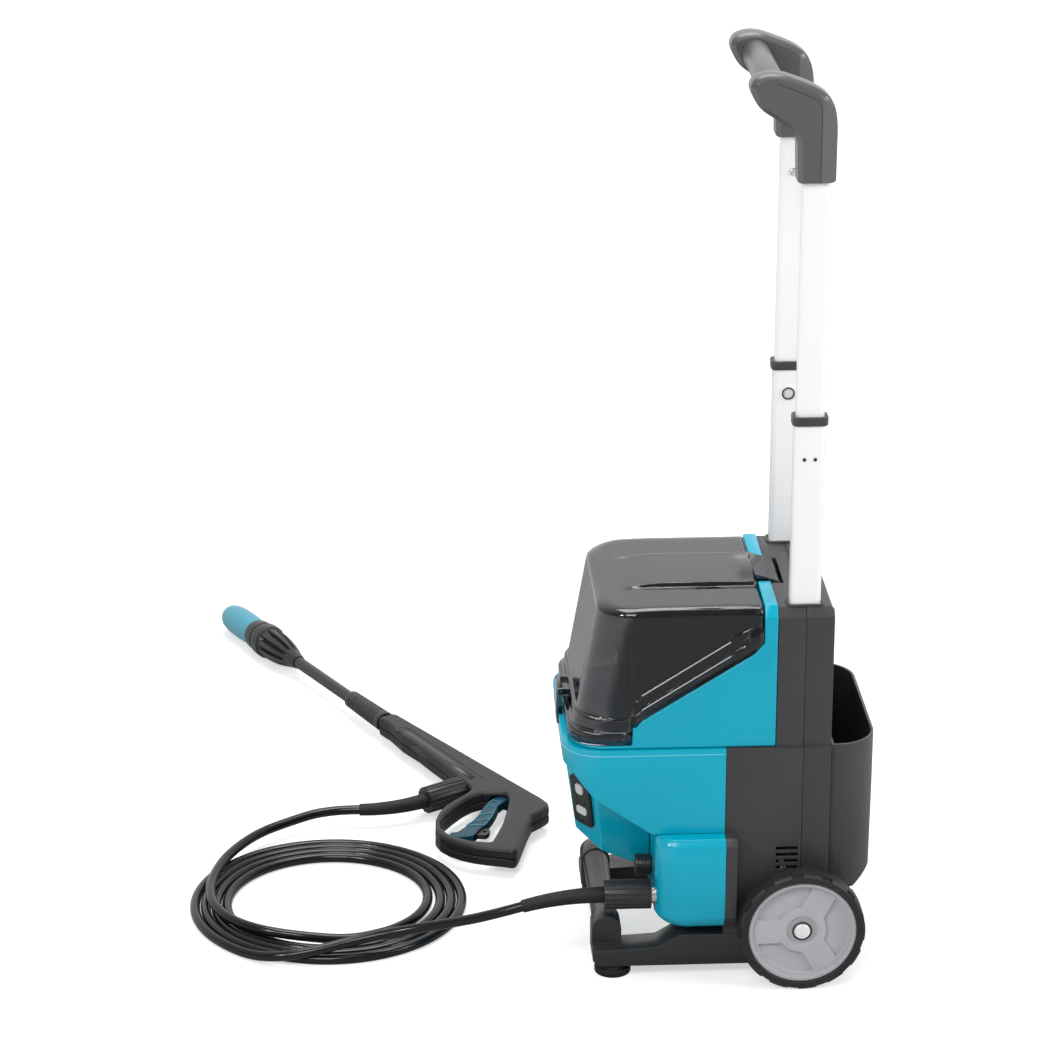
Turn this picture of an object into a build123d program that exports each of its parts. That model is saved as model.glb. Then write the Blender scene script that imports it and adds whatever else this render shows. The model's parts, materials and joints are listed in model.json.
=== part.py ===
from build123d import *
import os
from math import ceil, cos, pi, radians, sin, tan

os.makedirs("parts", exist_ok=True)

# Sizes in millimetres. The machine's own frame has X = 0 on the wheel axle and runs to the rear,
# Y = 0 on the middle of the machine and runs away from the outlet side, Z = 0 on the floor.
machine_x = 303.5
machine_y = -401.4
wall = 3.0
seam = 0.6
slide_gap = 0.3
run_fit = 0.05

# Housing
body_half = 126.0
upper_step = 4.0
upper_half = body_half - upper_step
belt_front = -270.0
belt_top = 285.0
belt_bottom = 181.0
colour_x = -87.0
tower_front = -31.0
cover_x = 0.7
tower_rear = 32.0
tower_top = 451.0
strip_front = -46.0
strip_top = 454.0
bevel_in = 10.0
bevel_low = 441.0
box_rear = 86.0
box_top = 286.0
box_corner = 46.0
pump_front = -166.0
pump_low = 67.0
pump_out = 20.0
pump_bevel = 18.0
pump_side = body_half + pump_out
band_rear = -74.0

# Wheels, axle and chassis, set out from the sides of the housing
wheel_radius = 72.0
wheel_width = 28.0
wheel_gap = 12.0
wheel_outer = body_half + wheel_gap + wheel_width
rim_radius = 62.0
tread_blocks = 13
axle_dia = 12.0
axle_z = wheel_radius
lug_inset = 2.0
lug_out = body_half - lug_inset
rail_width = 38.0
rail_out = body_half
rail_in = rail_out - rail_width
rail_low = 15.0
deck_top = 53.0
bar_dia = 30.0
socket_dia = 34.0
bar_x = -219.0
bar_z = 52.0
foot_x = -212.0
foot_inset = 20.0
foot_y = rail_out - foot_inset

# Lid
lid_wall = 2.6
lid_gap = 0.8
lid_low = 290.6
lid_front = -264.0
lid_top = 460.0
lid_shoulder = 452.0
lid_crown_half = 47.0
lid_step = 4.0
lid_body_half = upper_half - lid_step
lid_slope = 0.175
hinge_x = -25.0
hinge_z = 447.0
hinge_pin_dia = 5.0
tab_half = 36.0
latch_x = -268.0
latch_z = 315.0
latch_pin_dia = 3.0
latch_half = 15.6

# Telescopic handle
post_inset = 22.0
post_y = upper_half - post_inset
tube_x = 35.0
tube_y = 20.0
tube_wall = 1.4
tube_foot = 330.0
tube_head = 664.0
tube_overlap = 68.0
upper_foot = tube_head - tube_overlap
lock_drop = 30.0
lock_z = tube_head - lock_drop
grip_bar_dia = 31.0
grip_bar_x = -47.0
grip_bar_z = 1033.0
arm_height = 97.0
grip_foot = grip_bar_z - arm_height
grip_clearance = 11.0
handle_travel = grip_foot - tube_head - grip_clearance

# Water side
thread_dia = 22.0
outlet_inset = 26.0
outlet_y = outlet_inset - pump_side
outlet_z = 104.0
nut_dia = 34.0
nut_length = 54.0
inlet_y = -78.0
inlet_z = 121.0
inlet_dia = 24.0
hose_dia = 12.0
sleeve_dia = 19.0
sleeve_end_dia = 15.0

# Coil of hose, seen from above in the machine's frame
coil_x = -534.0
coil_y = 80.0
coil_inner = 116.0
coil_pitch = 12.7
coil_turns = 4
coil_first = 108.0
coil_in_angle = 290.0
coil_out_angle = 225.0

# Spray gun, lying on its side; its own frame has X forward along the barrel, Y towards the grip
gun_x = -460.0
gun_y = 563.7
gun_z = 25.0
gun_turn = 123.0
gun_half = 13.0
lance_turn = 4.4
lance_dia = 16.0
nozzle_dia = 47.0
head_dia = 40.0
trigger_thick = 12.0


def floor_at(z):
    """Level plane at a height above the floor, in the machine's frame."""
    return Plane((machine_x, machine_y, z))


def side_at(y):
    """Upright plane along the machine; sketches run X to the rear and Y up, its normal is -Y."""
    return Plane((machine_x, machine_y + y, 0), x_dir=(1, 0, 0), z_dir=(0, -1, 0))


def cross_at(x):
    """Upright plane across the machine; sketches run X across and Y up, its normal is +X."""
    return Plane((machine_x + x, machine_y, 0), x_dir=(0, 1, 0), z_dir=(1, 0, 0))


def gun_at(z=0.0):
    """Level plane through the gun at a height above its middle."""
    return Plane(
        (machine_x + gun_x, machine_y + gun_y, gun_z + z),
        x_dir=(cos(radians(gun_turn)), sin(radians(gun_turn)), 0),
    )


def lance_at(w):
    """Plane square to the lance at a distance in front of the barrel."""
    turn = radians(gun_turn - lance_turn)
    start = gun_at().from_local_coords((0, 2, 0))
    ahead = Vector(cos(turn), sin(turn), 0)
    return Plane(start + ahead * w, x_dir=(0, 0, 1), z_dir=ahead)


def block(x, y, z, mode=Mode.ADD):
    """Box between two X, two Y and two Z values of the machine's frame."""
    with BuildSketch(floor_at(z[0])) as outline:
        with Locations(((x[0] + x[1]) / 2, (y[0] + y[1]) / 2)):
            Rectangle(x[1] - x[0], y[1] - y[0])
    extrude(outline.sketch, amount=z[1] - z[0], mode=mode)


def along(profile, low, high, mode=Mode.ADD):
    """Side outline carried across the machine between two Y values."""
    with BuildSketch(side_at(high)) as outline:
        Polygon(*profile, align=None)
    extrude(outline.sketch, amount=high - low, mode=mode)


def plan(front, rear, half, corner, low, high, end=0):
    """Plan outline with round corners at its front (end 0) or rear (end -1), carried up."""
    with BuildSketch(floor_at(low)) as outline:
        with Locations(((front + rear) / 2, 0)):
            Rectangle(rear - front, 2 * half)
        fillet(outline.vertices().group_by(Axis.X)[end], corner)
    extrude(outline.sketch, amount=high - low)


def round_along_y(x, z, dia, low, high, mode=Mode.ADD):
    """Cylinder across the machine between two Y values."""
    with BuildSketch(side_at(high)) as outline:
        with Locations((x, z)):
            Circle(dia / 2)
    extrude(outline.sketch, amount=high - low, mode=mode)


def round_along_x(y, z, dia, low, high, mode=Mode.ADD):
    """Cylinder along the machine between two X values."""
    with BuildSketch(cross_at(low)) as outline:
        with Locations((y, z)):
            Circle(dia / 2)
    extrude(outline.sketch, amount=high - low, mode=mode)


# Chassis: two rails joined by a deck and a front bar, with lugs for the axle
rail = [
    (-236, 34), (-162, 38), (-137, deck_top), (66, deck_top), (66, 34), (44, rail_low), (-228, rail_low),
    (-236, 22),
]
with BuildPart() as base_frame:
    for low, high in ((-rail_out, -rail_in), (rail_in, rail_out)):
        along(rail, low, high)
    block((-137, 66), (-rail_in, rail_in), (deck_top - 8, deck_top))
    for low, high in ((-lug_out, -lug_out + 12), (lug_out - 12, lug_out)):
        block((-18, 18), (low, high), (deck_top - 1, axle_z + 20))
        round_along_y(0, axle_z, axle_dia + 2 * run_fit, low, high, Mode.SUBTRACT)
    round_along_y(bar_x, bar_z, bar_dia, -rail_in, rail_in)
    for side in (-1, 1):
        socket = sorted((side * (rail_in - 12), side * (rail_in + 18)))
        round_along_y(bar_x, bar_z, socket_dia, *socket)
        block((bar_x - socket_dia / 2, bar_x + socket_dia / 2), socket, (rail_low + 6, bar_z))

with BuildPart() as front_feet:
    for dia, low, high in ((42, 0, 9), (34, 9, rail_low)):
        with BuildSketch(floor_at(low)):
            with Locations((foot_x, -foot_y), (foot_x, foot_y)):
                Circle(dia / 2)
        extrude(amount=high - low)

cap_face = wheel_outer - 9.0
with BuildPart() as axle:
    round_along_y(0, axle_z, axle_dia, -cap_face - 4, cap_face + 4)

with BuildPart() as axle_caps:
    for side in (-1, 1):
        low, high = sorted((side * (cap_face + slide_gap), side * (cap_face + 6)))
        round_along_y(0, axle_z, 18, low, high)
        round_along_y(0, axle_z, axle_dia, -cap_face - 4, cap_face + 4, Mode.SUBTRACT)


def tyre(side):
    """Tyre with notches between its tread blocks."""
    low, high = sorted((side * (wheel_outer - wheel_width), side * wheel_outer))
    with BuildPart() as made:
        round_along_y(0, axle_z, 2 * wheel_radius, low, high)
        chamfer(made.edges().filter_by(GeomType.CIRCLE), 2.5)
        round_along_y(0, axle_z, 2 * rim_radius, low, high, Mode.SUBTRACT)
        for edge in (low, high - 7):
            with BuildSketch(side_at(edge + 7)):
                with Locations((0, axle_z)):
                    with PolarLocations(wheel_radius, tread_blocks, start_angle=13):
                        Rectangle(5.6, 13)
            extrude(amount=7, mode=Mode.SUBTRACT)
    return made


def rim(side):
    """Rim with a hub and three shallow pockets on its outer face."""
    face = wheel_outer - 7.0
    low, high = sorted((side * (face - 8), side * face))
    with BuildPart() as made:
        round_along_y(0, axle_z, 2 * rim_radius - 0.1, low, high)
        inner, outer = sorted((side * (wheel_outer - wheel_width + 1), side * (wheel_outer - 2)))
        round_along_y(0, axle_z, 2 * rim_radius - 0.1, inner, outer)
        for a, b in ((face, wheel_outer), (wheel_outer - wheel_width, face - 8)):
            a, b = sorted((side * a, side * b))
            round_along_y(0, axle_z, 2 * rim_radius - 10, a, b, Mode.SUBTRACT)
        hub = sorted((side * (wheel_outer - wheel_width - 1), side * cap_face))
        round_along_y(0, axle_z, 44, *hub)
        pocket = sorted((side * (face - 4), side * face))
        with BuildSketch(side_at(pocket[1])) as cut:
            with Locations((0, axle_z)):
                Circle(rim_radius - 9)
                Circle(28, mode=Mode.SUBTRACT)
                with PolarLocations(0, 3, start_angle=62):
                    Rectangle(2 * rim_radius, 30, align=(Align.MIN, Align.CENTER), mode=Mode.SUBTRACT)
        extrude(amount=4, mode=Mode.SUBTRACT)
        recess = sorted((side * cap_face, side * wheel_outer))
        round_along_y(0, axle_z, 34, *recess, Mode.SUBTRACT)
        round_along_y(0, axle_z, axle_dia + 2 * run_fit, *hub, Mode.SUBTRACT)
    return made


left_tyre = tyre(-1)
right_tyre = tyre(1)
left_rim = rim(-1)
right_rim = rim(1)

# Rear housing: a sleeve behind the colour line with a narrower tower that takes the handle tubes
tube_cut_x = tube_x + 2 * slide_gap
tube_cut_y = tube_y + 2 * slide_gap
slot_half = tab_half + 4.0


def tube_holes():
    """Openings for the two lower tubes through a top plate."""
    for y in (-post_y, post_y):
        cut_y = (y - tube_cut_y / 2, y + tube_cut_y / 2)
        block((-tube_cut_x / 2, tube_cut_x / 2), cut_y, (tower_top - 12, tower_top + 1), Mode.SUBTRACT)


def top_bevel(front, rear, top):
    """Bevels the upper side edges between two X values, with the corner behind them filled to keep the wall."""
    corner = (upper_half - wall, top - wall)
    behind = top - bevel_low
    fill = [corner, (corner[0] - behind, corner[1]), (corner[0], corner[1] - behind)]
    cut = [(upper_half + 1, top + 1), (upper_half - bevel_in, top + 1), (upper_half - bevel_in, top),
           (upper_half, bevel_low), (upper_half + 1, bevel_low)]
    for side in (-1, 1):
        for points, mode in ((fill, Mode.ADD), (cut, Mode.SUBTRACT)):
            with BuildSketch(cross_at(front)) as outline:
                Polygon(*[(side * y, z) for y, z in points], align=None)
            extrude(outline.sketch, amount=rear - front, mode=mode)


def axle_channel():
    """Channel under the housing for the axle and its lugs."""
    block((-24, 24), (-body_half, body_half), (deck_top, axle_z + 25), Mode.SUBTRACT)


pump_top = belt_bottom - seam


def pump_case(front, rear, inner):
    """Outline of the pump housing between two X values out from a Y value, bevelled at its outer edges."""
    with BuildSketch(cross_at(front)) as outline:
        Polygon(
            (inner, pump_low), (inner, pump_top), (-pump_side + 6, pump_top), (-pump_side, pump_top - 8),
            (-pump_side, pump_low + 16), (-pump_side + 14, pump_low), align=None,
        )
    extrude(outline.sketch, amount=rear - front)


case_low = deck_top + seam
with BuildPart() as rear_housing:
    block((colour_x + seam, cover_x - seam), (-body_half, body_half), (case_low, belt_top))
    block((tower_front + seam, cover_x - seam), (-upper_half, upper_half), (belt_top - wall, tower_top))
    inner = body_half - wall
    block((colour_x, cover_x), (-inner, inner), (case_low + wall, belt_top - wall), Mode.SUBTRACT)
    inner = upper_half - wall
    tower_inner = tower_front + seam + wall
    block((tower_inner, cover_x), (-inner, inner), (belt_top - wall - 1, tower_top - wall), Mode.SUBTRACT)
    top_bevel(tower_front + seam, cover_x - seam, tower_top)
    for side in (-1, 1):
        seat = sorted((side * (post_y - 14), side * inner))
        block((tower_front + seam, cover_x - seam), seat, (tube_foot - 6, tube_foot))
        cheek = sorted((side * slot_half, side * (slot_half + 12)))
        block((tower_front + seam, hinge_x + 12), cheek, (hinge_z - 12, tower_top - wall))
        for slot in range(4):
            low = 134 + 8 * slot
            vent = sorted((side * (body_half - wall - 1), side * body_half))
            block((-28, -3), vent, (low, low + 4), Mode.SUBTRACT)
    block((tower_front, hinge_x + 9), (-slot_half, slot_half), (hinge_z - 10, tower_top), Mode.SUBTRACT)
    pin_bore = hinge_pin_dia + 2 * run_fit
    round_along_y(hinge_x, hinge_z, pin_bore, -slot_half - 8, slot_half + 8, Mode.SUBTRACT)
    tube_holes()
    axle_channel()
    pump_case(colour_x + seam, band_rear, -body_half + 1)

with BuildPart() as rear_cover:
    block((cover_x, tower_rear), (-body_half, body_half), (case_low, belt_top))
    block((cover_x, tower_rear), (-upper_half, upper_half), (belt_top - wall, tower_top))
    fillet(rear_cover.edges().filter_by(Axis.Y).group_by(Axis.Z)[-1].sort_by(Axis.X)[-1], 7)
    inner = body_half - wall
    block((cover_x - 1, tower_rear - wall), (-inner, inner), (case_low + wall, belt_top - wall), Mode.SUBTRACT)
    inner = upper_half - wall
    tower_high = tower_top - wall
    block((cover_x - 1, tower_rear - wall), (-inner, inner), (belt_top - wall - 1, tower_high), Mode.SUBTRACT)
    top_bevel(cover_x, tower_rear, tower_top)
    tube_holes()
    axle_channel()

# Storage box behind the rear cover, open at the top
box_side = [
    (tower_rear + seam, box_top), (box_rear, box_top), (box_rear - 3, 123), (box_rear - 23, 106),
    (tower_rear + seam, 106),
]
box_hollow = [
    (tower_rear + seam + wall, box_top + 1), (box_rear - wall, box_top + 1), (box_rear - 3 - wall, 124),
    (box_rear - 24, 109), (tower_rear + seam + wall, 109),
]
with BuildPart() as box_core:
    plan(tower_rear + seam + wall, box_rear - wall, upper_half - wall, box_corner - wall, 100, box_top + 1, -1)
    along(box_hollow, -upper_half, upper_half, Mode.INTERSECT)

with BuildPart() as storage_box:
    plan(tower_rear + seam, box_rear, upper_half, box_corner, 100, box_top, -1)
    along(box_side, -upper_half, upper_half, Mode.INTERSECT)
    add(box_core.part, mode=Mode.SUBTRACT)

with BuildPart() as top_lever:
    block((3, 21), (24, 62), (tower_top, tower_top + 10))
    fillet(top_lever.edges().filter_by(Axis.Y).group_by(Axis.Z)[-1], 3)

# Belt shell: the proud lower front of the housing with an undercut below its front
belt_side = [
    (belt_front + 1, 260), (belt_front, belt_top), (colour_x, belt_top), (colour_x, belt_bottom),
    (-170, belt_bottom), (-236, 227), (-261, 256),
]
latch_recess = belt_front + 5.6
with BuildPart() as belt_core:
    plan(belt_front + wall, colour_x + 1, body_half - wall, 42, belt_bottom, belt_top - wall)
    hollow = [
        (-262, 262), (-262, belt_top), (colour_x + 1, belt_top), (colour_x + 1, belt_bottom + wall),
        (-169, belt_bottom + wall), (-234, 231),
    ]
    along(hollow, -body_half, body_half, Mode.INTERSECT)

with BuildPart() as belt_shell:
    plan(belt_front, colour_x, body_half, 45, belt_bottom, belt_top)
    along(belt_side, -body_half, body_half, Mode.INTERSECT)
    add(belt_core.part, mode=Mode.SUBTRACT)
    block((belt_front - 1, latch_recess), (-latch_half - 1, latch_half + 1), (272, belt_top + 1), Mode.SUBTRACT)

# Chin under the belt, wider towards the top, with a facet that carries the control panel
chin_taper = 8.0
chin_low = 97.0
chin_foot = [(-243, -19), (-220, -54), (pump_front - seam, -54), (pump_front - seam, 54), (-220, 54), (-243, 19)]
chin_cut = [(-290, 60), (-290, 161), (-174, 108), (pump_front + 20, 108), (pump_front + 20, 60)]
chin_roof = [
    (-236, 226), (-170, belt_bottom - seam), (pump_front + 40, belt_bottom - seam), (pump_front + 40, 300),
    (-290, 300), (-290, 248), (-261, 248),
]
with BuildPart() as chin_shell:
    with BuildSketch(floor_at(chin_low)):
        Polygon(*chin_foot, align=None)
    extrude(amount=belt_top - 30 - chin_low, taper=-chin_taper)
    along(chin_cut, -body_half, body_half, Mode.SUBTRACT)
    along(chin_roof, -body_half, body_half, Mode.SUBTRACT)
    block((pump_front - seam, pump_front + 60), (-body_half, body_half), (chin_low, belt_top), Mode.SUBTRACT)

facet_mid = ((chin_foot[0][0] + chin_foot[1][0]) / 2, (chin_foot[0][1] + chin_foot[1][1]) / 2)
facet_run = Vector(chin_foot[1][0] - chin_foot[0][0], chin_foot[1][1] - chin_foot[0][1], 0).normalized()
facet_out = Vector(facet_run.Y, -facet_run.X, 0)
facet_face = facet_out * cos(radians(chin_taper)) - Vector(0, 0, sin(radians(chin_taper)))
facet = Plane((machine_x + facet_mid[0], machine_y + facet_mid[1], chin_low), x_dir=facet_run, z_dir=facet_face)
panel_size = (34.0, 62.0)
panel_mid = (0.0, 92.0)
key_mids = ((0.0, 108.0), (0.0, 80.0))
key_sizes = ((13.0, 13.0), (18.0, 10.0))
key_travel = 1.5

with BuildPart() as control_panel:
    with BuildSketch(facet):
        with Locations(panel_mid):
            RectangleRounded(*panel_size, 6)
        for mid, size in zip(key_mids, key_sizes):
            with Locations(mid):
                RectangleRounded(size[0] + 2 * slide_gap, size[1] + 2 * slide_gap, 4, mode=Mode.SUBTRACT)
    extrude(amount=4)


def key(mid, size):
    """Key that stands proud of the panel and sinks into it."""
    with BuildPart() as made:
        with BuildSketch(facet.offset(key_travel + slide_gap)):
            with Locations(mid):
                RectangleRounded(*size, 3.8)
        extrude(amount=4.0)
    return made


power_key = key(key_mids[0], key_sizes[0])
mode_key = key(key_mids[1], key_sizes[1])

# Pump housing: the bump under the belt on the outlet side, with a dark end band behind it
def pump_corner(reach):
    """Bevels the housing's outer front corner and its lower front edge, reaching back from the corner."""
    with BuildSketch(floor_at(pump_low - 1)) as corner:
        Polygon(
            (pump_front - 1, -pump_side - 1), (pump_front + reach + 1, -pump_side - 1),
            (pump_front - 1, -pump_side + reach + 1), align=None,
        )
    extrude(corner.sketch, amount=pump_top - pump_low + 2, mode=Mode.SUBTRACT)
    under = [
        (pump_front - 1, pump_low - 1), (pump_front + reach, pump_low - 1), (pump_front - 1, pump_low + reach),
    ]
    along(under, -pump_side - 1, 54, Mode.SUBTRACT)


with BuildPart() as pump_hollow:
    edge = pump_side - wall
    with BuildSketch(cross_at(pump_front + wall)) as outline:
        Polygon(
            (54 - wall, pump_low + wall), (54 - wall, pump_top - wall), (-edge + 6, pump_top - wall),
            (-edge, pump_top - wall - 8), (-edge, pump_low + wall + 16), (-edge + 14, pump_low + wall), align=None,
        )
    extrude(outline.sketch, amount=colour_x - pump_front - wall)
    pump_corner(pump_bevel + 1.5 * wall)

with BuildPart() as pump_housing:
    pump_case(pump_front, colour_x, 54)
    pump_corner(pump_bevel)
    add(pump_hollow.part, mode=Mode.SUBTRACT)
    round_along_x(outlet_y, outlet_z, thread_dia + 1, pump_front - 1, pump_front + 30, Mode.SUBTRACT)
    round_along_x(inlet_y, inlet_z, 19, pump_front - 1, pump_front + 30, Mode.SUBTRACT)

# Upper shell: floor, two cheeks with a slanting edge and the box behind the lid
cheek = [
    (tower_front, belt_top + seam), (tower_front, strip_top), (strip_front, strip_top), (strip_front, 411),
    (-57, 398), (-193, 312.5), (-193, belt_top + seam),
]
floor_high = belt_top + seam + 4
with BuildPart() as upper_shell:
    plan(belt_front + 8, tower_front, upper_half, 40, belt_top + seam, floor_high)
    for low, high in ((-upper_half, -upper_half + wall), (upper_half - wall, upper_half)):
        along(cheek, low, high)
    strip_y = (-upper_half, upper_half)
    block((strip_front, tower_front), strip_y, (belt_top + seam, strip_top))
    inner = upper_half - wall
    strip_x = (strip_front + wall, tower_front - wall)
    block(strip_x, (-inner, inner), (floor_high, strip_top - wall), Mode.SUBTRACT)
    top_bevel(strip_front, tower_front, strip_top)
    block((strip_front, tower_front), (-slot_half, slot_half), (hinge_z - 10, strip_top), Mode.SUBTRACT)

# Lid: a thin crowned cover over the battery bay, with a tab that turns on the hinge pin
lid_rear = strip_front - 2 * lid_gap


def lid_form(inset):
    """Lid shape shrunk by an inset and open towards the bay: a body that leans back at its front over a wider lip."""
    k = inset
    edge = [(-195 + k, lid_low - k), (-195 + k, 311.8 - k), (-58.5, 398 + lid_gap - k), (lid_rear, 411 - k)]
    crown = [
        (lid_rear, lid_top + 4 - k), (-62, lid_top + 4 - k), (-70, lid_top - k), (-150, lid_top - k),
        (-196, lid_top - 3 - k), (-214, lid_top - 7 - k), (-225 + k / 2, lid_top - 14 - k / 2),
        (-232 + k, lid_top - 23), (-300, lid_top - 26), (-300, lid_low - k),
    ]
    lip_top = [
        (lid_rear, 427 - k), (-64, 413 - k), (-198, 329 - k), (-246, 322 - k), (-258 + k / 2, 314 - k),
        (lid_front + k, 306 - k), (-300, 306 - k), (-300, lid_low - k),
    ]
    with BuildPart() as body:
        with BuildSketch(floor_at(lid_low - 5)) as outline:
            with Locations((-110 + k / 2, 0)):
                Rectangle(300 - k, 2 * (lid_body_half - k))
            fillet(outline.vertices().group_by(Axis.X)[0], 44)
        extrude(outline.sketch, amount=200, dir=(lid_slope, 0, 1))
        along(crown + edge, -upper_half, upper_half, Mode.INTERSECT)
        for side in (-1, 1):
            shoulder = sorted((side * (lid_crown_half - k), side * (upper_half + 1)))
            block((-290, 0), shoulder, (lid_shoulder - k, lid_top + 5), Mode.SUBTRACT)
            corner = side * (lid_body_half - k)
            with BuildSketch(cross_at(-290)) as bevel:
                Polygon(
                    (corner + side, lid_shoulder - k - 14), (corner, lid_shoulder - k - 14),
                    (corner - side * 16, lid_shoulder - k), (corner + side, lid_shoulder - k), align=None,
                )
            extrude(bevel.sketch, amount=290, mode=Mode.SUBTRACT)
    with BuildPart() as lip:
        plan(lid_front + k, lid_rear + 1, upper_half - k, 38, lid_low - 5, lid_top)
        along(lip_top + edge, -upper_half, upper_half, Mode.INTERSECT)
    with BuildPart() as made:
        add(body.part)
        add(lip.part)
    return made


lid_outer = lid_form(0)
lid_inner = lid_form(lid_wall)
with BuildPart() as lid_core:
    add(lid_inner.part)
    block((lid_rear - lid_wall, 0), (-130, 130), (250, 500), Mode.SUBTRACT)

with BuildPart() as battery_lid:
    add(lid_outer.part)
    add(lid_core.part, mode=Mode.SUBTRACT)
    tab = [
        (lid_rear - 1, strip_top + 1), (lid_rear - 1, strip_top + 6), (hinge_x, hinge_z + 6), (hinge_x, hinge_z),
        (hinge_x - 6, hinge_z),
    ]
    along(tab, -tab_half, tab_half)
    round_along_y(hinge_x, hinge_z, 12, -tab_half, tab_half)
    round_along_y(hinge_x, hinge_z, hinge_pin_dia, -slot_half - 7.5, slot_half + 7.5)
    for side in (-1, 1):
        ear = sorted((side * (latch_half + 0.4), side * (latch_half + 5.4)))
        block((latch_x - 3.4, lid_front + 8), ear, (latch_z - 6, latch_z + 3))
    round_along_y(latch_x, latch_z, latch_pin_dia, -latch_half - 5.4, latch_half + 5.4)

# Latch on the lid's front; its foot sits in the recess of the belt
with BuildPart() as lid_latch:
    latch = [
        (latch_x - 3.4, latch_z), (latch_x - 3.8, latch_z - 6), (latch_x - 3.8, 273), (latch_recess - 0.8, 273),
        (latch_recess - 0.8, 288), (latch_x + 3.2, 292), (latch_x + 3.2, latch_z - 2),
    ]
    along(latch, -latch_half, latch_half)
    round_along_y(latch_x, latch_z, 6.8, -latch_half, latch_half)
    round_along_y(latch_x, latch_z, latch_pin_dia + 2 * run_fit, -latch_half, latch_half, Mode.SUBTRACT)

# Battery packs on their dock
with BuildPart() as battery_dock:
    block((-192, -62), (-96, 96), (floor_high, floor_high + 10))
    for y in (-50, 50):
        block((-186, -68), (y - 10, y + 10), (floor_high + 10, floor_high + 16))


def battery(y):
    """Battery pack with a groove that slides over the rail of the dock."""
    low = floor_high + 10 + slide_gap
    with BuildPart() as made:
        block((-188, -66), (y - 40, y + 40), (low, low + 118))
        fillet(made.edges().filter_by(Axis.Z), 8)
        groove = 10 + slide_gap
        block((-190, -64), (y - groove, y + groove), (low - 1, low + 6.4), Mode.SUBTRACT)
    return made


left_battery = battery(-50)
right_battery = battery(50)

# Motor and pump inside the housing, on one line along the machine
drive_y = -20.0
drive_z = 138.0
swash_x = -104.0
with BuildPart() as motor_can:
    round_along_x(drive_y, drive_z, 76, -84, -8)
    round_along_x(drive_y, drive_z, 68, -81, -11, Mode.SUBTRACT)
    round_along_x(drive_y, drive_z, 10 + 2 * run_fit, -86, -6, Mode.SUBTRACT)

with BuildPart() as motor_rotor:
    round_along_x(drive_y, drive_z, 64, -76, -16)
    round_along_x(drive_y, drive_z, 10, swash_x, -4)
    round_along_x(drive_y, drive_z, 46, swash_x - 6, swash_x + 6)
    with BuildSketch(side_at(drive_y)):
        Polygon(
            (swash_x - 7, drive_z - 30), (swash_x - 6, drive_z - 30), (swash_x, drive_z + 30),
            (swash_x - 7, drive_z + 30), align=None,
        )
    extrude(amount=40, both=True, mode=Mode.SUBTRACT)

with BuildPart() as pump_block:
    round_along_x(drive_y, drive_z, 66, pump_front + wall + seam, swash_x - 22)
    block((pump_front + wall + seam, -142), (-136, -6), (outlet_z - 14, inlet_z + 14))
    pump_corner(pump_bevel + 1.5 * wall + 2)
    round_along_x(outlet_y, outlet_z, 16, pump_front, -146, Mode.SUBTRACT)
    round_along_x(inlet_y, inlet_z, 14, pump_front, -148, Mode.SUBTRACT)
    for turn in (0, 120, 240):
        y = drive_y + 16 * cos(radians(turn + 90))
        z = drive_z + 16 * sin(radians(turn + 90))
        round_along_x(y, z, 12 + 2 * run_fit, -152, swash_x - 20, Mode.SUBTRACT)

with BuildPart() as pump_pistons:
    for turn in (0, 120, 240):
        y = drive_y + 16 * cos(radians(turn + 90))
        z = drive_z + 16 * sin(radians(turn + 90))
        round_along_x(y, z, 12, -148, swash_x - 7)

with BuildPart() as controller:
    block((-232, -196), (-70, 70), (belt_bottom + 54, belt_bottom + 78))

with BuildPart() as outlet_fitting:
    round_along_x(outlet_y, outlet_z, thread_dia, pump_front - 16, pump_front + wall + seam)
    round_along_x(outlet_y, outlet_z, 16, pump_front - 14, -147)
    round_along_x(outlet_y, outlet_z, 9, pump_front - 17, -146, Mode.SUBTRACT)

with BuildPart() as inlet_fitting:
    round_along_x(inlet_y, inlet_z, inlet_dia, pump_front - 19, pump_front - seam)
    round_along_x(inlet_y, inlet_z, 14, pump_front - 17, -149)
    round_along_x(inlet_y, inlet_z, 9, pump_front - 20, -148, Mode.SUBTRACT)


# Handle: two-stage tubes with locking buttons, grip arms and a cross bar
def tube(y, size_x, size_y, skin, low, high):
    """Hollow rounded tube standing on a post line."""
    with BuildPart() as made:
        for cut, mode in ((0, Mode.ADD), (2 * skin, Mode.SUBTRACT)):
            with BuildSketch(floor_at(low)):
                with Locations((0, y)):
                    RectangleRounded(size_x - cut, size_y - cut, 6 - cut / 2)
            extrude(amount=high - low, mode=mode)
    return made


upper_x = tube_x - 2 * tube_wall - 2 * slide_gap
upper_y = tube_y - 2 * tube_wall - 2 * slide_gap
upper_wall = 1.6
button_dia = 9.0
stud_z = lock_z + handle_travel


rivet_x = (-6, 6)
rivet_z = lock_z - 11.0
rivet_dia = 4.0


def rivet_span(side):
    """Y values of a rivet through the outward wall of a lower tube."""
    face = post_y + tube_y / 2
    return sorted((side * (face - tube_wall), side * (face + 0.8)))


def lower_tube(side):
    """Outer tube with a ringed hole for its button in the inward face."""
    made = tube(side * post_y, tube_x, tube_y, tube_wall, tube_foot, tube_head)
    low, high = sorted((side * (post_y - tube_y / 2 - 1), side * (post_y - 3)))
    ring_low, ring_high = sorted((side * (post_y - tube_y / 2 - 2), side * (post_y - tube_y / 2)))
    with BuildPart() as bored:
        add(made.part)
        round_along_y(0, lock_z, button_dia + 7, ring_low, ring_high)
        round_along_y(0, lock_z, button_dia + 2 * slide_gap, low - 2, high + 2, Mode.SUBTRACT)
        for x in rivet_x:
            round_along_y(x, rivet_z, rivet_dia, *rivet_span(side), Mode.SUBTRACT)
    return bored


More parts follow.
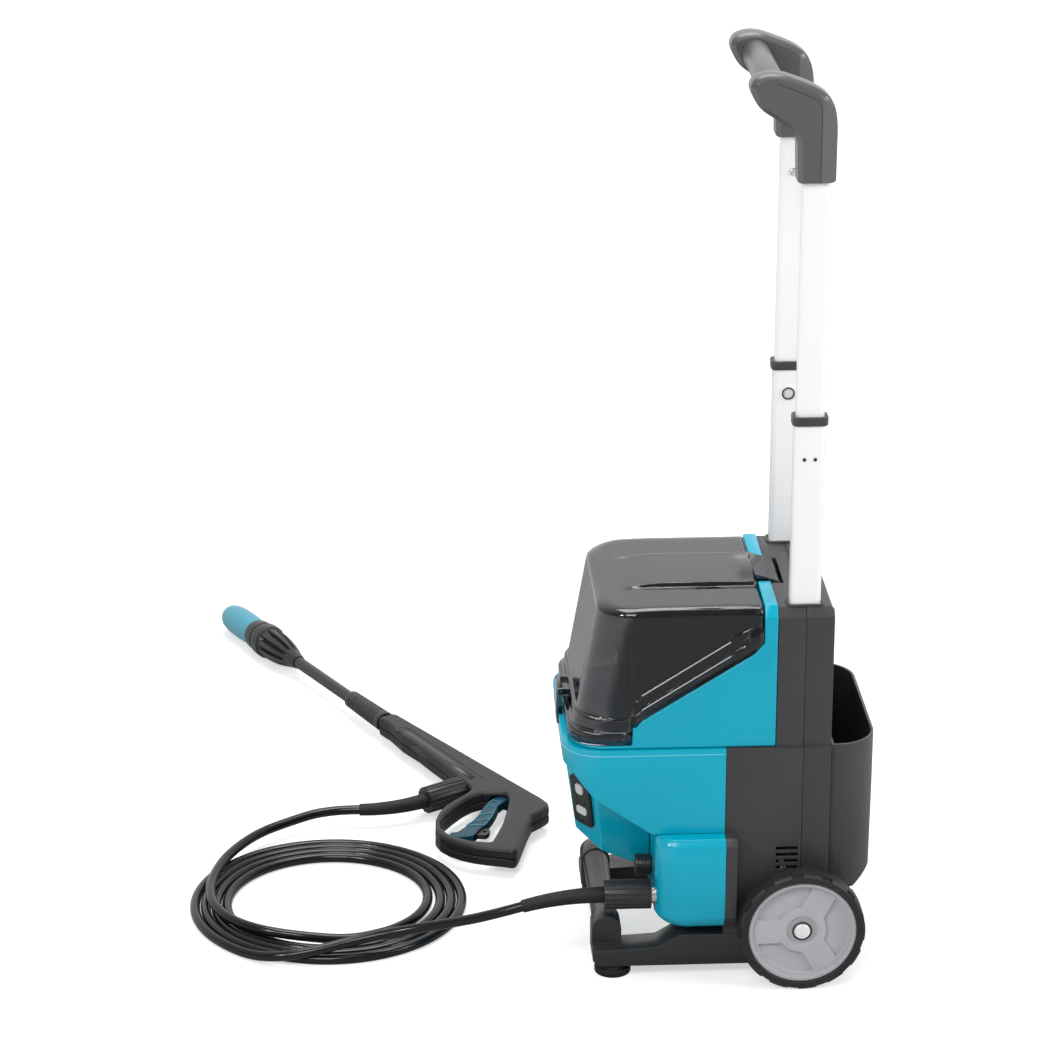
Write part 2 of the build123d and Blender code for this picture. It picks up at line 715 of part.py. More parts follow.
def upper_tube(side):
    """Inner tube with the holes that its button and its stud work in."""
    made = tube(side * post_y, upper_x, upper_y, upper_wall, upper_foot, grip_foot + 24)
    low, high = sorted((side * (post_y - tube_y / 2 - 1), side * post_y))
    with BuildPart() as bored:
        add(made.part)
        for z in (lock_z, stud_z):
            round_along_y(0, z, button_dia + 2 * slide_gap, low, high, Mode.SUBTRACT)
    return bored


left_lower_tube = lower_tube(-1)
right_lower_tube = lower_tube(1)
left_upper_tube = upper_tube(-1)
right_upper_tube = upper_tube(1)

with BuildPart() as tube_collars:
    for y in (-post_y, post_y):
        with BuildSketch(floor_at(tube_head - 2)):
            with Locations((0, y)):
                RectangleRounded(tube_x + 5, tube_y + 5, 7)
        extrude(amount=10)
        for low, high, x, w in (
            (tube_head - 2, tube_head, tube_x, tube_y),
            (tube_head, tube_head + 8, upper_x + 2 * slide_gap, upper_y + 2 * slide_gap),
        ):
            with BuildSketch(floor_at(low)):
                with Locations((0, y)):
                    RectangleRounded(x, w, 5)
            extrude(amount=high - low, mode=Mode.SUBTRACT)

with BuildPart() as tube_rivets:
    for side in (-1, 1):
        for x in rivet_x:
            round_along_y(x, rivet_z, rivet_dia, *rivet_span(side))


def release_button(side):
    """Button in the lower tube's ring; pressed, it sinks into the hole of the inner tube."""
    face = post_y - tube_y / 2
    low, high = sorted((side * (face - 4.5), side * (face + tube_wall)))
    with BuildPart() as made:
        round_along_y(0, lock_z, button_dia, low, high)
    return made


def snap_stud(side):
    """Stud in the upper tube that draws back as the handle goes down."""
    face = post_y - upper_y / 2
    low, high = sorted((side * (face - 2.5), side * (face + 2.2)))
    with BuildPart() as made:
        round_along_y(0, stud_z, button_dia, low, high)
    return made


left_button = release_button(-1)
right_button = release_button(1)
left_stud = snap_stud(-1)
right_stud = snap_stud(1)

arm_foot = [(-22, grip_foot), (19.5, grip_foot)]
arm_heel = [(20, grip_bar_z - 21), (9, grip_bar_z + 1), (-9, grip_bar_z + 11)]
arm_nose = [
    (grip_bar_x + x, grip_bar_z + z)
    for x, z in ((1, 24), (-22, 20), (-28, 11), (-27, 1), (-17, -16), (2, -28))
]
arm_side = arm_foot + arm_heel + arm_nose + [(-24, grip_bar_z - 43)]


def grip_arm(side):
    """Arm of the grip, socketed on its upper tube and on the cross bar."""
    low, high = sorted((side * (post_y - 16), side * (post_y + 16)))
    with BuildPart() as made:
        along(arm_side, low, high)
        chamfer(made.faces().filter_by(Axis.Y).edges(), 2.5)
        with BuildSketch(floor_at(grip_foot)):
            with Locations((0, side * post_y)):
                RectangleRounded(upper_x, upper_y, 5)
        extrude(amount=24, mode=Mode.SUBTRACT)
        bore = sorted((side * (post_y - 16), side * (post_y - 6)))
        round_along_y(grip_bar_x, grip_bar_z, grip_bar_dia - 6, *bore, Mode.SUBTRACT)
    return made


left_arm = grip_arm(-1)
right_arm = grip_arm(1)
with BuildPart() as grip_bar:
    reach = post_y - 16 - seam
    round_along_y(grip_bar_x, grip_bar_z, grip_bar_dia, -reach, reach)
    round_along_y(grip_bar_x, grip_bar_z, grip_bar_dia - 6, -post_y + 6.2, post_y - 6.2)


# Hose ends: a captive nut and a bent sleeve with a tail inside it
def coupling_nut(plane):
    """Ribbed nut; the plane sits on its open end and looks along the fitting's axis away from it."""
    with BuildPart() as made:
        with BuildSketch(plane):
            Circle(nut_dia / 2)
            with PolarLocations(nut_dia / 2, 18):
                Rectangle(2.4, 3.0, mode=Mode.SUBTRACT)
        extrude(amount=nut_length)
        with BuildSketch(plane):
            Circle(thread_dia / 2 + run_fit)
        extrude(amount=nut_length - 10, mode=Mode.SUBTRACT)
        with BuildSketch(plane):
            Circle(7 + run_fit)
        extrude(amount=nut_length, mode=Mode.SUBTRACT)
    return made


def hose_sleeve(plane, tip, seat):
    """Bent sleeve from the nut's end to a tip, with a flanged tail that keeps the nut."""
    start = plane.origin + plane.z_dir * (nut_length + slide_gap)
    with BuildPart() as made:
        with BuildLine() as spine:
            bend = TangentArc(start, tip, tangent=plane.z_dir)
        with BuildSketch(Plane(start, z_dir=plane.z_dir)):
            Circle(sleeve_dia / 2)
        with BuildSketch(Plane(tip, z_dir=bend % 1)):
            Circle(sleeve_end_dia / 2)
        sweep(path=bend, multisection=True)
        with BuildSketch(plane.offset(nut_length + slide_gap)):
            Circle(7)
        extrude(amount=-(nut_length + slide_gap - seat))
        with BuildSketch(plane.offset(seat)):
            Circle(thread_dia / 2 - 0.6)
        extrude(amount=nut_length - 10 - slide_gap - seat)
    print("sleeve bend radius", round(bend.radius, 1))
    return made, bend % 1


outlet_plane = Plane(
    (machine_x + pump_front - 4, machine_y + outlet_y, outlet_z), x_dir=(0, 1, 0), z_dir=(-1, 0, 0)
)
machine_tip = Vector(machine_x - 316, machine_y - 113, 88)
machine_nut = coupling_nut(outlet_plane)
machine_sleeve, machine_heading = hose_sleeve(outlet_plane, machine_tip, 12 + slide_gap)

inlet_s = -230.0
gun_inlet_plane = Plane(gun_at().from_local_coords((inlet_s, 44, 0)), x_dir=(0, 0, 1), z_dir=gun_at().y_dir)
gun_tip = Vector(machine_x - 500, machine_y + 296, gun_z - 1)
gun_nut = coupling_nut(gun_inlet_plane)
gun_sleeve, gun_heading = hose_sleeve(gun_inlet_plane, gun_tip, 12 + slide_gap)

# Spray gun: two shell halves around the barrel, the valve and the trigger
gun_outline = [
    (0, -9), (-8, -11), (-95, -11), (-192, -10), (-277, -10), (-331, -10.5), (-346, -9), (-358, -2),
    (-364, 14), (-368, 32), (-386, 52), (-429, 96), (-440, 109), (-428, 116), (-411, 131), (-396, 142), (-380, 150),
    (-362, 155), (-346, 156), (-330, 152), (-302, 132), (-288, 117), (-279, 104), (-271, 85), (-265, 64),
    (-257, 46), (-171, 33), (-140, 30), (-108, 26), (-70, 25), (-31, 18), (0, 17),
]
gun_opening = [
    (-328, 141), (-315, 134), (-302, 118), (-291, 97), (-281, 75), (-276, 56), (-277, 42), (-290, 22), (-298, 20),
    (-310, 26), (-331, 44), (-359, 70), (-385, 100), (-398, 116), (-379, 134), (-363, 140), (-346, 144),
]
trigger_pivot = (-288.0, 10.0)
lock_pivot = (-350.0, 104.0)
trigger_form = [
    (-281, 3), (-295, 3), (-300, 24), (-307, 40), (-318, 51), (-330, 65), (-342, 82), (-349, 98), (-360, 115),
    (-353, 134), (-340, 138), (-336, 133), (-339, 125), (-334, 112), (-328, 97), (-316, 79), (-298, 55), (-289, 42),
    (-283, 24),
]
lock_slot = [(-331, 90), (-336, 104), (-345, 115), (-372, 115), (-372, 78), (-338, 78)]
lock_form = [
    (-345, 100), (-343, 91), (-347, 87), (-354, 86), (-361, 93), (-363, 99), (-357, 106), (-349, 109),
]


def gun_half_shell(side):
    """One half of the gun's shell, hollow along the barrel and around the trigger's root."""
    low = seam / 2 if side > 0 else -gun_half
    with BuildPart() as made:
        with BuildSketch(gun_at(low)) as outline:
            Polygon(*gun_outline, align=None)
            fillet(outline.vertices(), 7)
            with BuildSketch(mode=Mode.SUBTRACT) as opening:
                Polygon(*gun_opening, align=None)
                fillet(opening.vertices(), 5)
        extrude(amount=gun_half - seam / 2)
        outer = made.faces().sort_by(Axis.Z)[-1 if side > 0 else 0]
        chamfer(outer.outer_wire().edges(), 3)
        outer = made.faces().sort_by(Axis.Z)[-1 if side > 0 else 0]
        chamfer(outer.inner_wires()[0].edges(), 3)
        barrel = Plane(gun_at().from_local_coords((2, 2, 0)), x_dir=(0, 0, 1), z_dir=gun_at().x_dir)
        with BuildSketch(barrel):
            Circle(10)
        extrude(amount=-262, mode=Mode.SUBTRACT)
        inlet = Plane(gun_inlet_plane.origin, x_dir=(0, 0, 1), z_dir=gun_inlet_plane.z_dir)
        with BuildSketch(inlet.offset(12)):
            Circle(thread_dia / 2 + 8)
        extrude(amount=-13, mode=Mode.SUBTRACT)
        with BuildSketch(inlet):
            Circle(thread_dia / 2 + 0.2)
        extrude(amount=-46, mode=Mode.SUBTRACT)
        with BuildSketch(gun_at(-trigger_thick / 2 - slide_gap)):
            with Locations((-290, 15.5)):
                Rectangle(34, 37)
        extrude(amount=trigger_thick + 2 * slide_gap, mode=Mode.SUBTRACT)
        with BuildSketch(gun_at(-12)):
            with Locations(trigger_pivot):
                Circle(2.5 + run_fit)
        extrude(amount=24, mode=Mode.SUBTRACT)
    return made


gun_upper_half = gun_half_shell(1)
gun_lower_half = gun_half_shell(-1)

with BuildPart() as gun_valve:
    barrel = Plane(gun_at().from_local_coords((0, 2, 0)), x_dir=(0, 0, 1), z_dir=gun_at().x_dir)
    with BuildSketch(barrel.offset(-30)):
        Circle(9.6)
    extrude(amount=-224)
    with BuildSketch(gun_inlet_plane.offset(12)):
        Circle(thread_dia / 2)
    extrude(amount=-46)
    with BuildSketch(barrel.offset(-30)):
        Circle(4)
    extrude(amount=-200, mode=Mode.SUBTRACT)
    with BuildSketch(gun_inlet_plane.offset(12)):
        Circle(4)
    extrude(amount=-50, mode=Mode.SUBTRACT)

with BuildPart() as trigger:
    with BuildSketch(gun_at(-trigger_thick / 2)) as face:
        Polygon(*trigger_form, align=None)
        fillet(face.vertices(), 2)
    extrude(amount=trigger_thick)
    with BuildSketch(gun_at(-3 - slide_gap)):
        Polygon(*lock_slot, align=None)
    extrude(amount=6 + 2 * slide_gap, mode=Mode.SUBTRACT)
    for pivot, dia, half in ((trigger_pivot, 5, 11.5), (lock_pivot, 4, trigger_thick / 2)):
        with BuildSketch(gun_at(-half)):
            with Locations(pivot):
                Circle(dia / 2)
        extrude(amount=2 * half)

with BuildPart() as trigger_lock:
    with BuildSketch(gun_at(-3)) as face:
        Polygon(*lock_form, align=None)
        fillet(face.vertices(), 1.5)
        with Locations(lock_pivot):
            Circle(2 + run_fit, mode=Mode.SUBTRACT)
        with Locations((-353.5, 94)):
            Circle(2.6, mode=Mode.SUBTRACT)
    extrude(amount=6)


# Lance, bayonet sleeve and nozzle on the lance line
def ring(start, end, dia, end_dia=None, mode=Mode.ADD):
    """Round length of the lance between two distances in front of the barrel."""
    with BuildSketch(lance_at(start)) as first:
        Circle(dia / 2)
    if end_dia is None:
        extrude(first.sketch, amount=end - start, mode=mode)
    else:
        with BuildSketch(lance_at(end)) as last:
            Circle(end_dia / 2)
        loft([first.sketch, last.sketch], mode=mode)


body_start = 246.0
collar_start = 330.0
head_start = 374.0
head_end = 458.0
sleeve_root = 27.5
sleeve_nose = 23.5
with BuildPart() as bayonet_sleeve:
    ring(3, 95, sleeve_root, sleeve_nose)
    for groove in range(12):
        start = 14 + 6.2 * groove
        dia = sleeve_root + (sleeve_nose - sleeve_root) * (start - 3) / 92
        ring(start, start + 2.6, sleeve_root + 4, mode=Mode.SUBTRACT)
        ring(start, start + 2.6, dia - 2.4)
    ring(3, 95, lance_dia, mode=Mode.SUBTRACT)

with BuildPart() as lance_tube:
    ring(-22, collar_start - 30, lance_dia)
    ring(-23, collar_start - 29, lance_dia - 8, mode=Mode.SUBTRACT)

with BuildPart() as nozzle_body:
    ring(body_start, collar_start, 20, 43)
    for turn in range(9):
        groove = lance_at(collar_start).rotated((0, 0, 40 * turn))
        with BuildSketch(groove):
            with Locations((21.5, 0)):
                Circle(3.2)
        extrude(amount=-66, mode=Mode.SUBTRACT)
    ring(collar_start, collar_start + 22, nozzle_dia)
    ring(collar_start + 22, head_start - slide_gap, nozzle_dia - 3, head_dia + 1)
    ring(collar_start, head_start + 24, 24)
    ring(body_start, collar_start - 30, lance_dia, mode=Mode.SUBTRACT)
    ring(collar_start - 31, head_start + 25, 6, mode=Mode.SUBTRACT)

with BuildPart() as nozzle_head:
    ring(head_start, head_end, head_dia - 2, head_dia)
    tip_edge = nozzle_head.edges().filter_by(GeomType.CIRCLE).sort_by(Axis(lance_at(0).origin, lance_at(0).z_dir))
    fillet(tip_edge[-1], 15)
    ring(head_start, head_start + 24.4, 24 + 2 * run_fit, mode=Mode.SUBTRACT)
    ring(head_start, head_end + 1, 8, mode=Mode.SUBTRACT)


# Hose: a flat coil of half turns on the floor with a lead to the gun and a lead to the machine
def spot(x, y, z):
    """Point of the machine's frame in the frame of the file."""
    return Vector(machine_x + x, machine_y + y, z)


def ray(angle):
    """Level direction at an angle in degrees."""
    return Vector(cos(radians(angle)), sin(radians(angle)), 0)


def half_turn(start, end):
    """Half circle on the floor from one point to the other, turning to the left."""
    middle = (start + end) / 2
    reach = (end - start) / 2
    return ThreePointArc(start, middle + Vector(reach.Y, -reach.X, 0), end)


coil_mid = spot(coil_x, coil_y, hose_dia / 2)
coil_ends = []
for half in range(2 * coil_turns):
    if half % 2 == 0:
        coil_ends.append(coil_mid - ray(coil_out_angle) * (coil_inner + coil_pitch * half / 2))
    else:
        coil_ends.append(coil_mid + ray(coil_out_angle) * (coil_inner + coil_pitch * (half + 1) / 2))
first_mid = coil_ends[0] + ray(coil_out_angle) * coil_first
first_turn = coil_out_angle + 180 - coil_in_angle
coil_start = first_mid + ray(coil_in_angle) * coil_first
start_way = ray(coil_in_angle + 90)
end_way = ray(coil_out_angle + 90)

with BuildPart() as hose_coil:
    with BuildLine() as coil_line:
        ThreePointArc(coil_start, first_mid + ray(coil_in_angle + first_turn / 2) * coil_first, coil_ends[0])
        for a, b in zip(coil_ends, coil_ends[1:]):
            half_turn(a, b)
    with BuildSketch(Plane(coil_start, z_dir=start_way)):
        Circle(hose_dia / 2)
    sweep(path=coil_line.wires()[0])


def lead(points):
    """Hose stretch of straight runs joined by tangent arcs."""
    radii = []
    for a, b, c in zip(points, points[1:], points[2:]):
        turn = (b - a).get_angle(c - b)
        radii.append(0.45 * min((b - a).length, (c - b).length) / tan(radians(turn / 2)))
    with BuildPart() as made:
        with BuildLine() as line:
            FilletPolyline(*points, radius=radii)
        with BuildSketch(Plane(points[0], z_dir=points[1] - points[0])):
            Circle(hose_dia / 2)
        sweep(path=line.wires()[0])
    length = line.wires()[0].length
    runs = [round((b - a).length) for a, b in zip(points, points[1:])]
    section = pi * hose_dia**2 / 4
    print("lead length", round(length, 1), "least radius", round(min(radii), 1), "runs", runs)
    print("volume over section times length", round(made.part.volume / (section * length), 4))
    return made, line.wires()[0]


def over_coil(angle, radius, z):
    """Point above the coil at an angle and a distance from its middle."""
    return spot(coil_x, coil_y, z) + ray(angle) * radius


top_layer = 1.5 * hose_dia + 1.0
gun_route = [
    gun_tip,
    gun_tip + gun_heading * 42,
    spot(-588, 270, 22),
    spot(-628, 240, 20.5),
    over_coil(140, 166, top_layer + 0.5),
    over_coil(157, 154, top_layer),
    over_coil(174, 149, top_layer),
    over_coil(192, 146, top_layer),
    over_coil(211, 141, top_layer),
    over_coil(231, 132, top_layer + 0.3),
    over_coil(252, 118, 15.5),
    coil_start - start_way * 28,
    coil_start,
]
hose_gun_lead, gun_line = lead(gun_route)
machine_route = [
    coil_ends[-1],
    coil_ends[-1] + end_way * 28,
    spot(-596, -79, 13),
    spot(-551, -76, top_layer + 0.4),
    spot(-503, -67, 28),
    spot(-453, -68, 38),
    spot(-404, -83, 53),
    machine_tip + machine_heading * 46,
    machine_tip,
]
hose_machine_lead, machine_line = lead(machine_route)

coil_length = coil_line.wires()[0].length
total = coil_length + gun_line.length + machine_line.length
print("coil length", round(coil_length, 1), "hose length with both leads", round(total, 1))
samples = []
for wire in (gun_line, coil_line.wires()[0], machine_line):
    count = ceil(wire.length / 4)
    samples += [wire.position_at(i / count) for i in range(count)]
nearest = min(
    (p - q).length
    for i, p in enumerate(samples)
    for q in samples[i + 15:]
)
print("least gap of the hose to itself", round(nearest - hose_dia, 2))

pieces = {
    "base_frame": base_frame, "front_feet": front_feet, "axle": axle,
    "axle_caps": axle_caps, "left_tyre": left_tyre, "right_tyre": right_tyre, "left_rim": left_rim,
    "right_rim": right_rim, "rear_housing": rear_housing, "rear_cover": rear_cover, "storage_box": storage_box,
    "top_lever": top_lever, "belt_shell": belt_shell, "chin_shell": chin_shell, "control_panel": control_panel,
    "power_key": power_key, "mode_key": mode_key, "pump_housing": pump_housing,
    "upper_shell": upper_shell, "battery_lid": battery_lid, "lid_latch": lid_latch,
    "battery_dock": battery_dock, "left_battery": left_battery,
    "right_battery": right_battery, "motor_can": motor_can, "motor_rotor": motor_rotor, "pump_block": pump_block,
    "pump_pistons": pump_pistons, "controller": controller, "outlet_fitting": outlet_fitting,
    "inlet_fitting": inlet_fitting, "left_lower_tube": left_lower_tube, "right_lower_tube": right_lower_tube,
    "left_upper_tube": left_upper_tube, "right_upper_tube": right_upper_tube, "tube_collars": tube_collars,
    "tube_rivets": tube_rivets, "left_button": left_button,
    "right_button": right_button, "left_stud": left_stud, "right_stud": right_stud, "left_arm": left_arm,
    "right_arm": right_arm, "grip_bar": grip_bar, "machine_nut": machine_nut, "machine_sleeve": machine_sleeve,
    "gun_nut": gun_nut, "gun_sleeve": gun_sleeve, "gun_upper_half": gun_upper_half,
    "gun_lower_half": gun_lower_half, "gun_valve": gun_valve, "trigger": trigger,
    "trigger_lock": trigger_lock, "bayonet_sleeve": bayonet_sleeve,
    "lance_tube": lance_tube, "nozzle_body": nozzle_body,
    "nozzle_head": nozzle_head, "hose_coil": hose_coil, "hose_gun_lead": hose_gun_lead,
    "hose_machine_lead": hose_machine_lead,
}
for label, made in pieces.items():
    made.part.label = label
    export_step(made.part, f"parts/{label}.step")
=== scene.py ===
# Battery pressure washer: the looks of its pieces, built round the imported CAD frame, in metres.
import json
from math import cos, exp, log, pi, radians, sin

import bmesh
import bpy
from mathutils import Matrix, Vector

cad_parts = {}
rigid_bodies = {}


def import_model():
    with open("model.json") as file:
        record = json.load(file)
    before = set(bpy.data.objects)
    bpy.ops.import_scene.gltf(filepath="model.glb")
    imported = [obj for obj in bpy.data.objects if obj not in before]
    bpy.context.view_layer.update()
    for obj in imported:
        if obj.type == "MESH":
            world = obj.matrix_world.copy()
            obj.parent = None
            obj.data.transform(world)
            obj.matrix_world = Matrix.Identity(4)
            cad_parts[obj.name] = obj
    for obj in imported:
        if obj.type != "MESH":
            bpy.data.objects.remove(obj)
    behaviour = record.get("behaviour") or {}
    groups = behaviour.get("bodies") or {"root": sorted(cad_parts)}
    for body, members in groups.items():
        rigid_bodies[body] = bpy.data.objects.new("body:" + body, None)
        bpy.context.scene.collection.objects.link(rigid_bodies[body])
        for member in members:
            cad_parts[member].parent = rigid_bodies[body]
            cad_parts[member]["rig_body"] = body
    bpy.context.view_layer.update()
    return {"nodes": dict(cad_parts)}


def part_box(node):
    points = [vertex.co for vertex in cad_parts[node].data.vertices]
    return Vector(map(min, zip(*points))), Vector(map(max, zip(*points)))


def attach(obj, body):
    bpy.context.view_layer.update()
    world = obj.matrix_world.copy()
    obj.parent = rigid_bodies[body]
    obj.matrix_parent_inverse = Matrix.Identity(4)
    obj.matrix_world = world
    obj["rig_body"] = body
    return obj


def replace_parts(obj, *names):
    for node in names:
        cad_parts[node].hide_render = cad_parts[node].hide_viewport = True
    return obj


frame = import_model()
nodes = frame["nodes"]
MM = 0.001
# The side that shows the outlet is the machine's left.
SIDES = ((-1, "left"), (1, "right"))

# Chassis
# The base is one moulding of glass-filled nylon: two rails, a deck and a front bar, on rubber feet.
# Its skin is a fine spark-eroded grain, which dulls the black to a dark grey under soft light.


def linear(hex_colour):
    """Linear colour of an sRGB hex value such as 2f2f31."""
    parts = [int(hex_colour[i:i + 2], 16) / 255 for i in (0, 2, 4)]
    return [p / 12.92 if p <= 0.04045 else ((p + 0.055) / 1.055) ** 2.4 for p in parts] + [1.0]


def add_node(tree, kind, settings, links):
    """Adds one node; settings go to its sockets or its own values, links join other nodes' sockets to it."""
    node = tree.nodes.new(kind)
    for name, value in settings.items():
        if isinstance(name, int) or name in node.inputs:
            node.inputs[name].default_value = value
        else:
            setattr(node, name, value)
    for name, source in links.items():
        tree.links.new(source, node.inputs[name])
    return node


def new_material(name):
    """Empty node material with its output, ready for a shader."""
    material = bpy.data.materials.new(name)
    material.use_nodes = True
    material.node_tree.nodes.clear()
    tree = material.node_tree
    return material, tree, add_node(tree, "ShaderNodeOutputMaterial", {}, {})


# Length of the faint marks that the plastic leaves as it flows into a mould.
FLOW_MM = 60.0


def moulded_plastic(name, colour, shade, roughness, grain_mm, grain_depth_mm, edge_mm, gloss=0.4):
    """Moulded plastic: a flow-marked colour, a grained skin and edges softened by the mould's radius."""
    material, tree, output = new_material(name)
    place = add_node(tree, "ShaderNodeTexCoord", {}, {})
    flow = add_node(tree, "ShaderNodeTexNoise", {"Scale": 1 / (FLOW_MM * MM), "Detail": 3.0},
                    {"Vector": place.outputs["Object"]})
    tint = add_node(tree, "ShaderNodeMix", {"data_type": "RGBA", 6: linear(colour), 7: linear(shade)},
                    {0: flow.outputs["Fac"]})
    grain = add_node(tree, "ShaderNodeTexNoise", {"Scale": 1 / (grain_mm * MM), "Detail": 2.0},
                     {"Vector": place.outputs["Object"]})
    skin = add_node(tree, "ShaderNodeMapRange", {"To Min": roughness - 0.06, "To Max": roughness + 0.06},
                    {"Value": grain.outputs["Fac"]})
    edges = add_node(tree, "ShaderNodeBevel", {"Radius": edge_mm * MM, "samples": 6}, {})
    bump = add_node(tree, "ShaderNodeBump", {"Strength": 0.5, "Distance": grain_depth_mm * MM},
                    {"Height": grain.outputs["Fac"], "Normal": edges.outputs["Normal"]})
    shader = add_node(tree, "ShaderNodeBsdfPrincipled", {"IOR": 1.5, "Specular IOR Level": gloss},
                      {"Base Color": tint.outputs[2], "Roughness": skin.outputs[0],
                       "Normal": bump.outputs["Normal"]})
    tree.links.new(shader.outputs[0], output.inputs["Surface"])
    return material


def dress(material, *names):
    """Gives CAD nodes a material in place of the plain one that they were packed with."""
    for name in names:
        slots = nodes[name].data.materials
        slots.clear()
        slots.append(material)


def new_piece(name, form, material, body):
    """Finished mesh as a smooth-shaded piece that rides on a body."""
    for face in form.faces:
        face.smooth = True
    mesh = bpy.data.meshes.new(name)
    form.to_mesh(mesh)
    form.free()
    mesh.materials.append(material)
    piece = bpy.data.objects.new(name, mesh)
    bpy.context.collection.objects.link(piece)
    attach(piece, body)
    return piece


def remade(name, material):
    """New piece with a CAD node's form, its flat faces made whole again, that stands for the node."""
    form = bmesh.new()
    form.from_mesh(nodes[name].data)
    bmesh.ops.remove_doubles(form, verts=form.verts, dist=0.01 * MM)
    bmesh.ops.dissolve_limit(form, angle_limit=radians(0.5), verts=form.verts, edges=form.edges)
    piece = new_piece(name + "_form", form, material, nodes[name]["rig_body"])
    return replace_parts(piece, name)


def roll_edges(piece, radius_mm, steps=3, sharper_than=34):
    """Rounds a piece's sharp edges to the radius that its mould has."""
    roll = piece.modifiers.new("mould_radius", "BEVEL")
    roll.width = radius_mm * MM
    roll.segments = steps
    roll.limit_method = "ANGLE"
    roll.angle_limit = radians(sharper_than)
    roll.harden_normals = True
    return piece


def rolled(material, radius_mm, *names):
    """CAD nodes remade with rounded edges."""
    return [roll_edges(remade(name, material), radius_mm) for name in names]


# The grain is about 0.3 mm on the real part and is drawn at 1.4 mm, or it would not show. The grains of the
# other plastics are coarsened likewise.
black_nylon = moulded_plastic("black_glass_filled_nylon", "2a2a2b", "262627", 0.33, 1.4, 0.04, 0.8, 0.5)
# Rubber is duller and nearly black.
black_rubber = moulded_plastic("black_rubber", "161617", "121213", 0.62, 2.0, 0.06, 0.8)
rolled(black_nylon, 3.0, "base_frame")
rolled(black_rubber, 2.5, "front_feet")

# Axle
# A bright zinc-plated steel bar across the lugs, with a turned cap on each end that keeps the wheel on.
# The plating leaves a fine uneven skin that softens the highlights. It is drawn at 0.8 mm, coarser than
# it is, or it would not show.


def turned_steel(name, colour, roughness, mottle_mm, metal=1.0):
    """Machined metal, plated or painted: its roughness varies finely over its skin."""
    material, tree, output = new_material(name)
    place = add_node(tree, "ShaderNodeTexCoord", {}, {})
    mottle = add_node(tree, "ShaderNodeTexNoise", {"Scale": 1 / (mottle_mm * MM), "Detail": 2.0},
                      {"Vector": place.outputs["Object"]})
    skin = add_node(tree, "ShaderNodeMapRange", {"To Min": roughness - 0.05, "To Max": roughness + 0.08},
                    {"Value": mottle.outputs["Fac"]})
    shader = add_node(tree, "ShaderNodeBsdfPrincipled", {"Base Color": linear(colour), "Metallic": metal},
                      {"Roughness": skin.outputs[0]})
    tree.links.new(shader.outputs[0], output.inputs["Surface"])
    return material


zinc_steel = turned_steel("zinc_plated_steel", "dedfe0", 0.24, 0.8)
# The caps are blasted before plating, so they scatter light and look nearly white.
blasted_zinc = turned_steel("blasted_zinc_plate", "f4f5f5", 0.34, 0.8, 0.4)
dress(zinc_steel, "axle")
rolled(blasted_zinc, 1.5, "axle_caps")

# Wheels
# Solid rubber tyres with notches between the tread blocks, on moulded grey rims. Three thin beads run
# round the tyre's outer face, where the rubber laps over the rim.
# The rubber is coarse and matt; the rims are pale and satin.
tyre_rubber = moulded_plastic("tyre_rubber", "29282a", "242325", 0.5, 1.6, 0.08, 0.8)
rim_nylon = moulded_plastic("grey_rim_nylon", "acadb0", "a5a6aa", 0.38, 1.4, 0.02, 1.0)
rolled(tyre_rubber, 1.5, "left_tyre", "right_tyre")
rolled(rim_nylon, 1.6, "left_rim", "right_rim")
# Radius of each ring of bead, and of the bead itself.
BEADS = ((63.4, 1.0), (66.4, 0.7), (69.0, 0.7))
BEAD_SINK = 0.2
axle_low, axle_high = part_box("axle")
machine_middle = (axle_low + axle_high) / 2 / MM


def in_frame(x, y, z):
    """Point given in millimetres from the middle of the axle and the floor, in the frame's metres."""
    return Vector((machine_middle.x + x, machine_middle.y + y, z)) * MM


def wire(name, points, radius_mm, closed, material, body):
    """Thin round bead that follows points given in millimetres from the middle of the axle."""
    line = bpy.data.curves.new(name, "CURVE")
    line.dimensions = "3D"
    line.bevel_depth = radius_mm * MM
    line.bevel_resolution = 3
    strand = line.splines.new("POLY")
    strand.points.add(len(points) - 1)
    for point, place in zip(strand.points, points):
        point.co = (*in_frame(*place), 1.0)
    strand.use_cyclic_u = closed
    strand.use_smooth = True
    line.materials.append(material)
    piece = bpy.data.objects.new(name, line)
    bpy.context.collection.objects.link(piece)
    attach(piece, body)
    return piece


def hoop(middle, radius, steps, axis="Y"):
    """Points of a ring about a middle, round the machine's Y or X direction."""
    turns = [2 * pi * i / steps for i in range(steps)]
    x, y, z = middle
    if axis == "Y":
        return [(x + radius * cos(t), y, z + radius * sin(t)) for t in turns]
    return [(x, y + radius * cos(t), z + radius * sin(t)) for t in turns]


for side, hand in SIDES:
    tyre = hand + "_tyre"
    low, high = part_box(tyre)
    outer = (high.y if side > 0 else low.y) / MM - machine_middle.y
    face = side * (abs(outer) - BEAD_SINK)
    for count, (radius, thick) in enumerate(BEADS):
        ring = hoop((0, face, machine_middle.z), radius, 72)
        wire(f"{tyre}_bead_{count + 1}", ring, thick, True, tyre_rubber, nodes[tyre]["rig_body"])

# Shade rings round the hub caps
# A thin dark rubber ring sits round each cap, between it and the middle of its rim. It is painted shade:
# it stands for the soft shadow in the hub's dish round the cap, and rides on the machine with the cap.
CAP_SHADE_RING = 10.6
CAP_SHADE_BEAD = 0.9
CAP_DEPTH = 2.5
caps_low, caps_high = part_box("axle_caps")
for side, hand in SIDES:
    face = side * ((caps_high.y - caps_low.y) / 2 / MM - CAP_DEPTH)
    ring = hoop((0, face, machine_middle.z), CAP_SHADE_RING, 48)
    wire(hand + "_cap_shade_ring", ring, CAP_SHADE_BEAD, True, black_rubber, "machine")

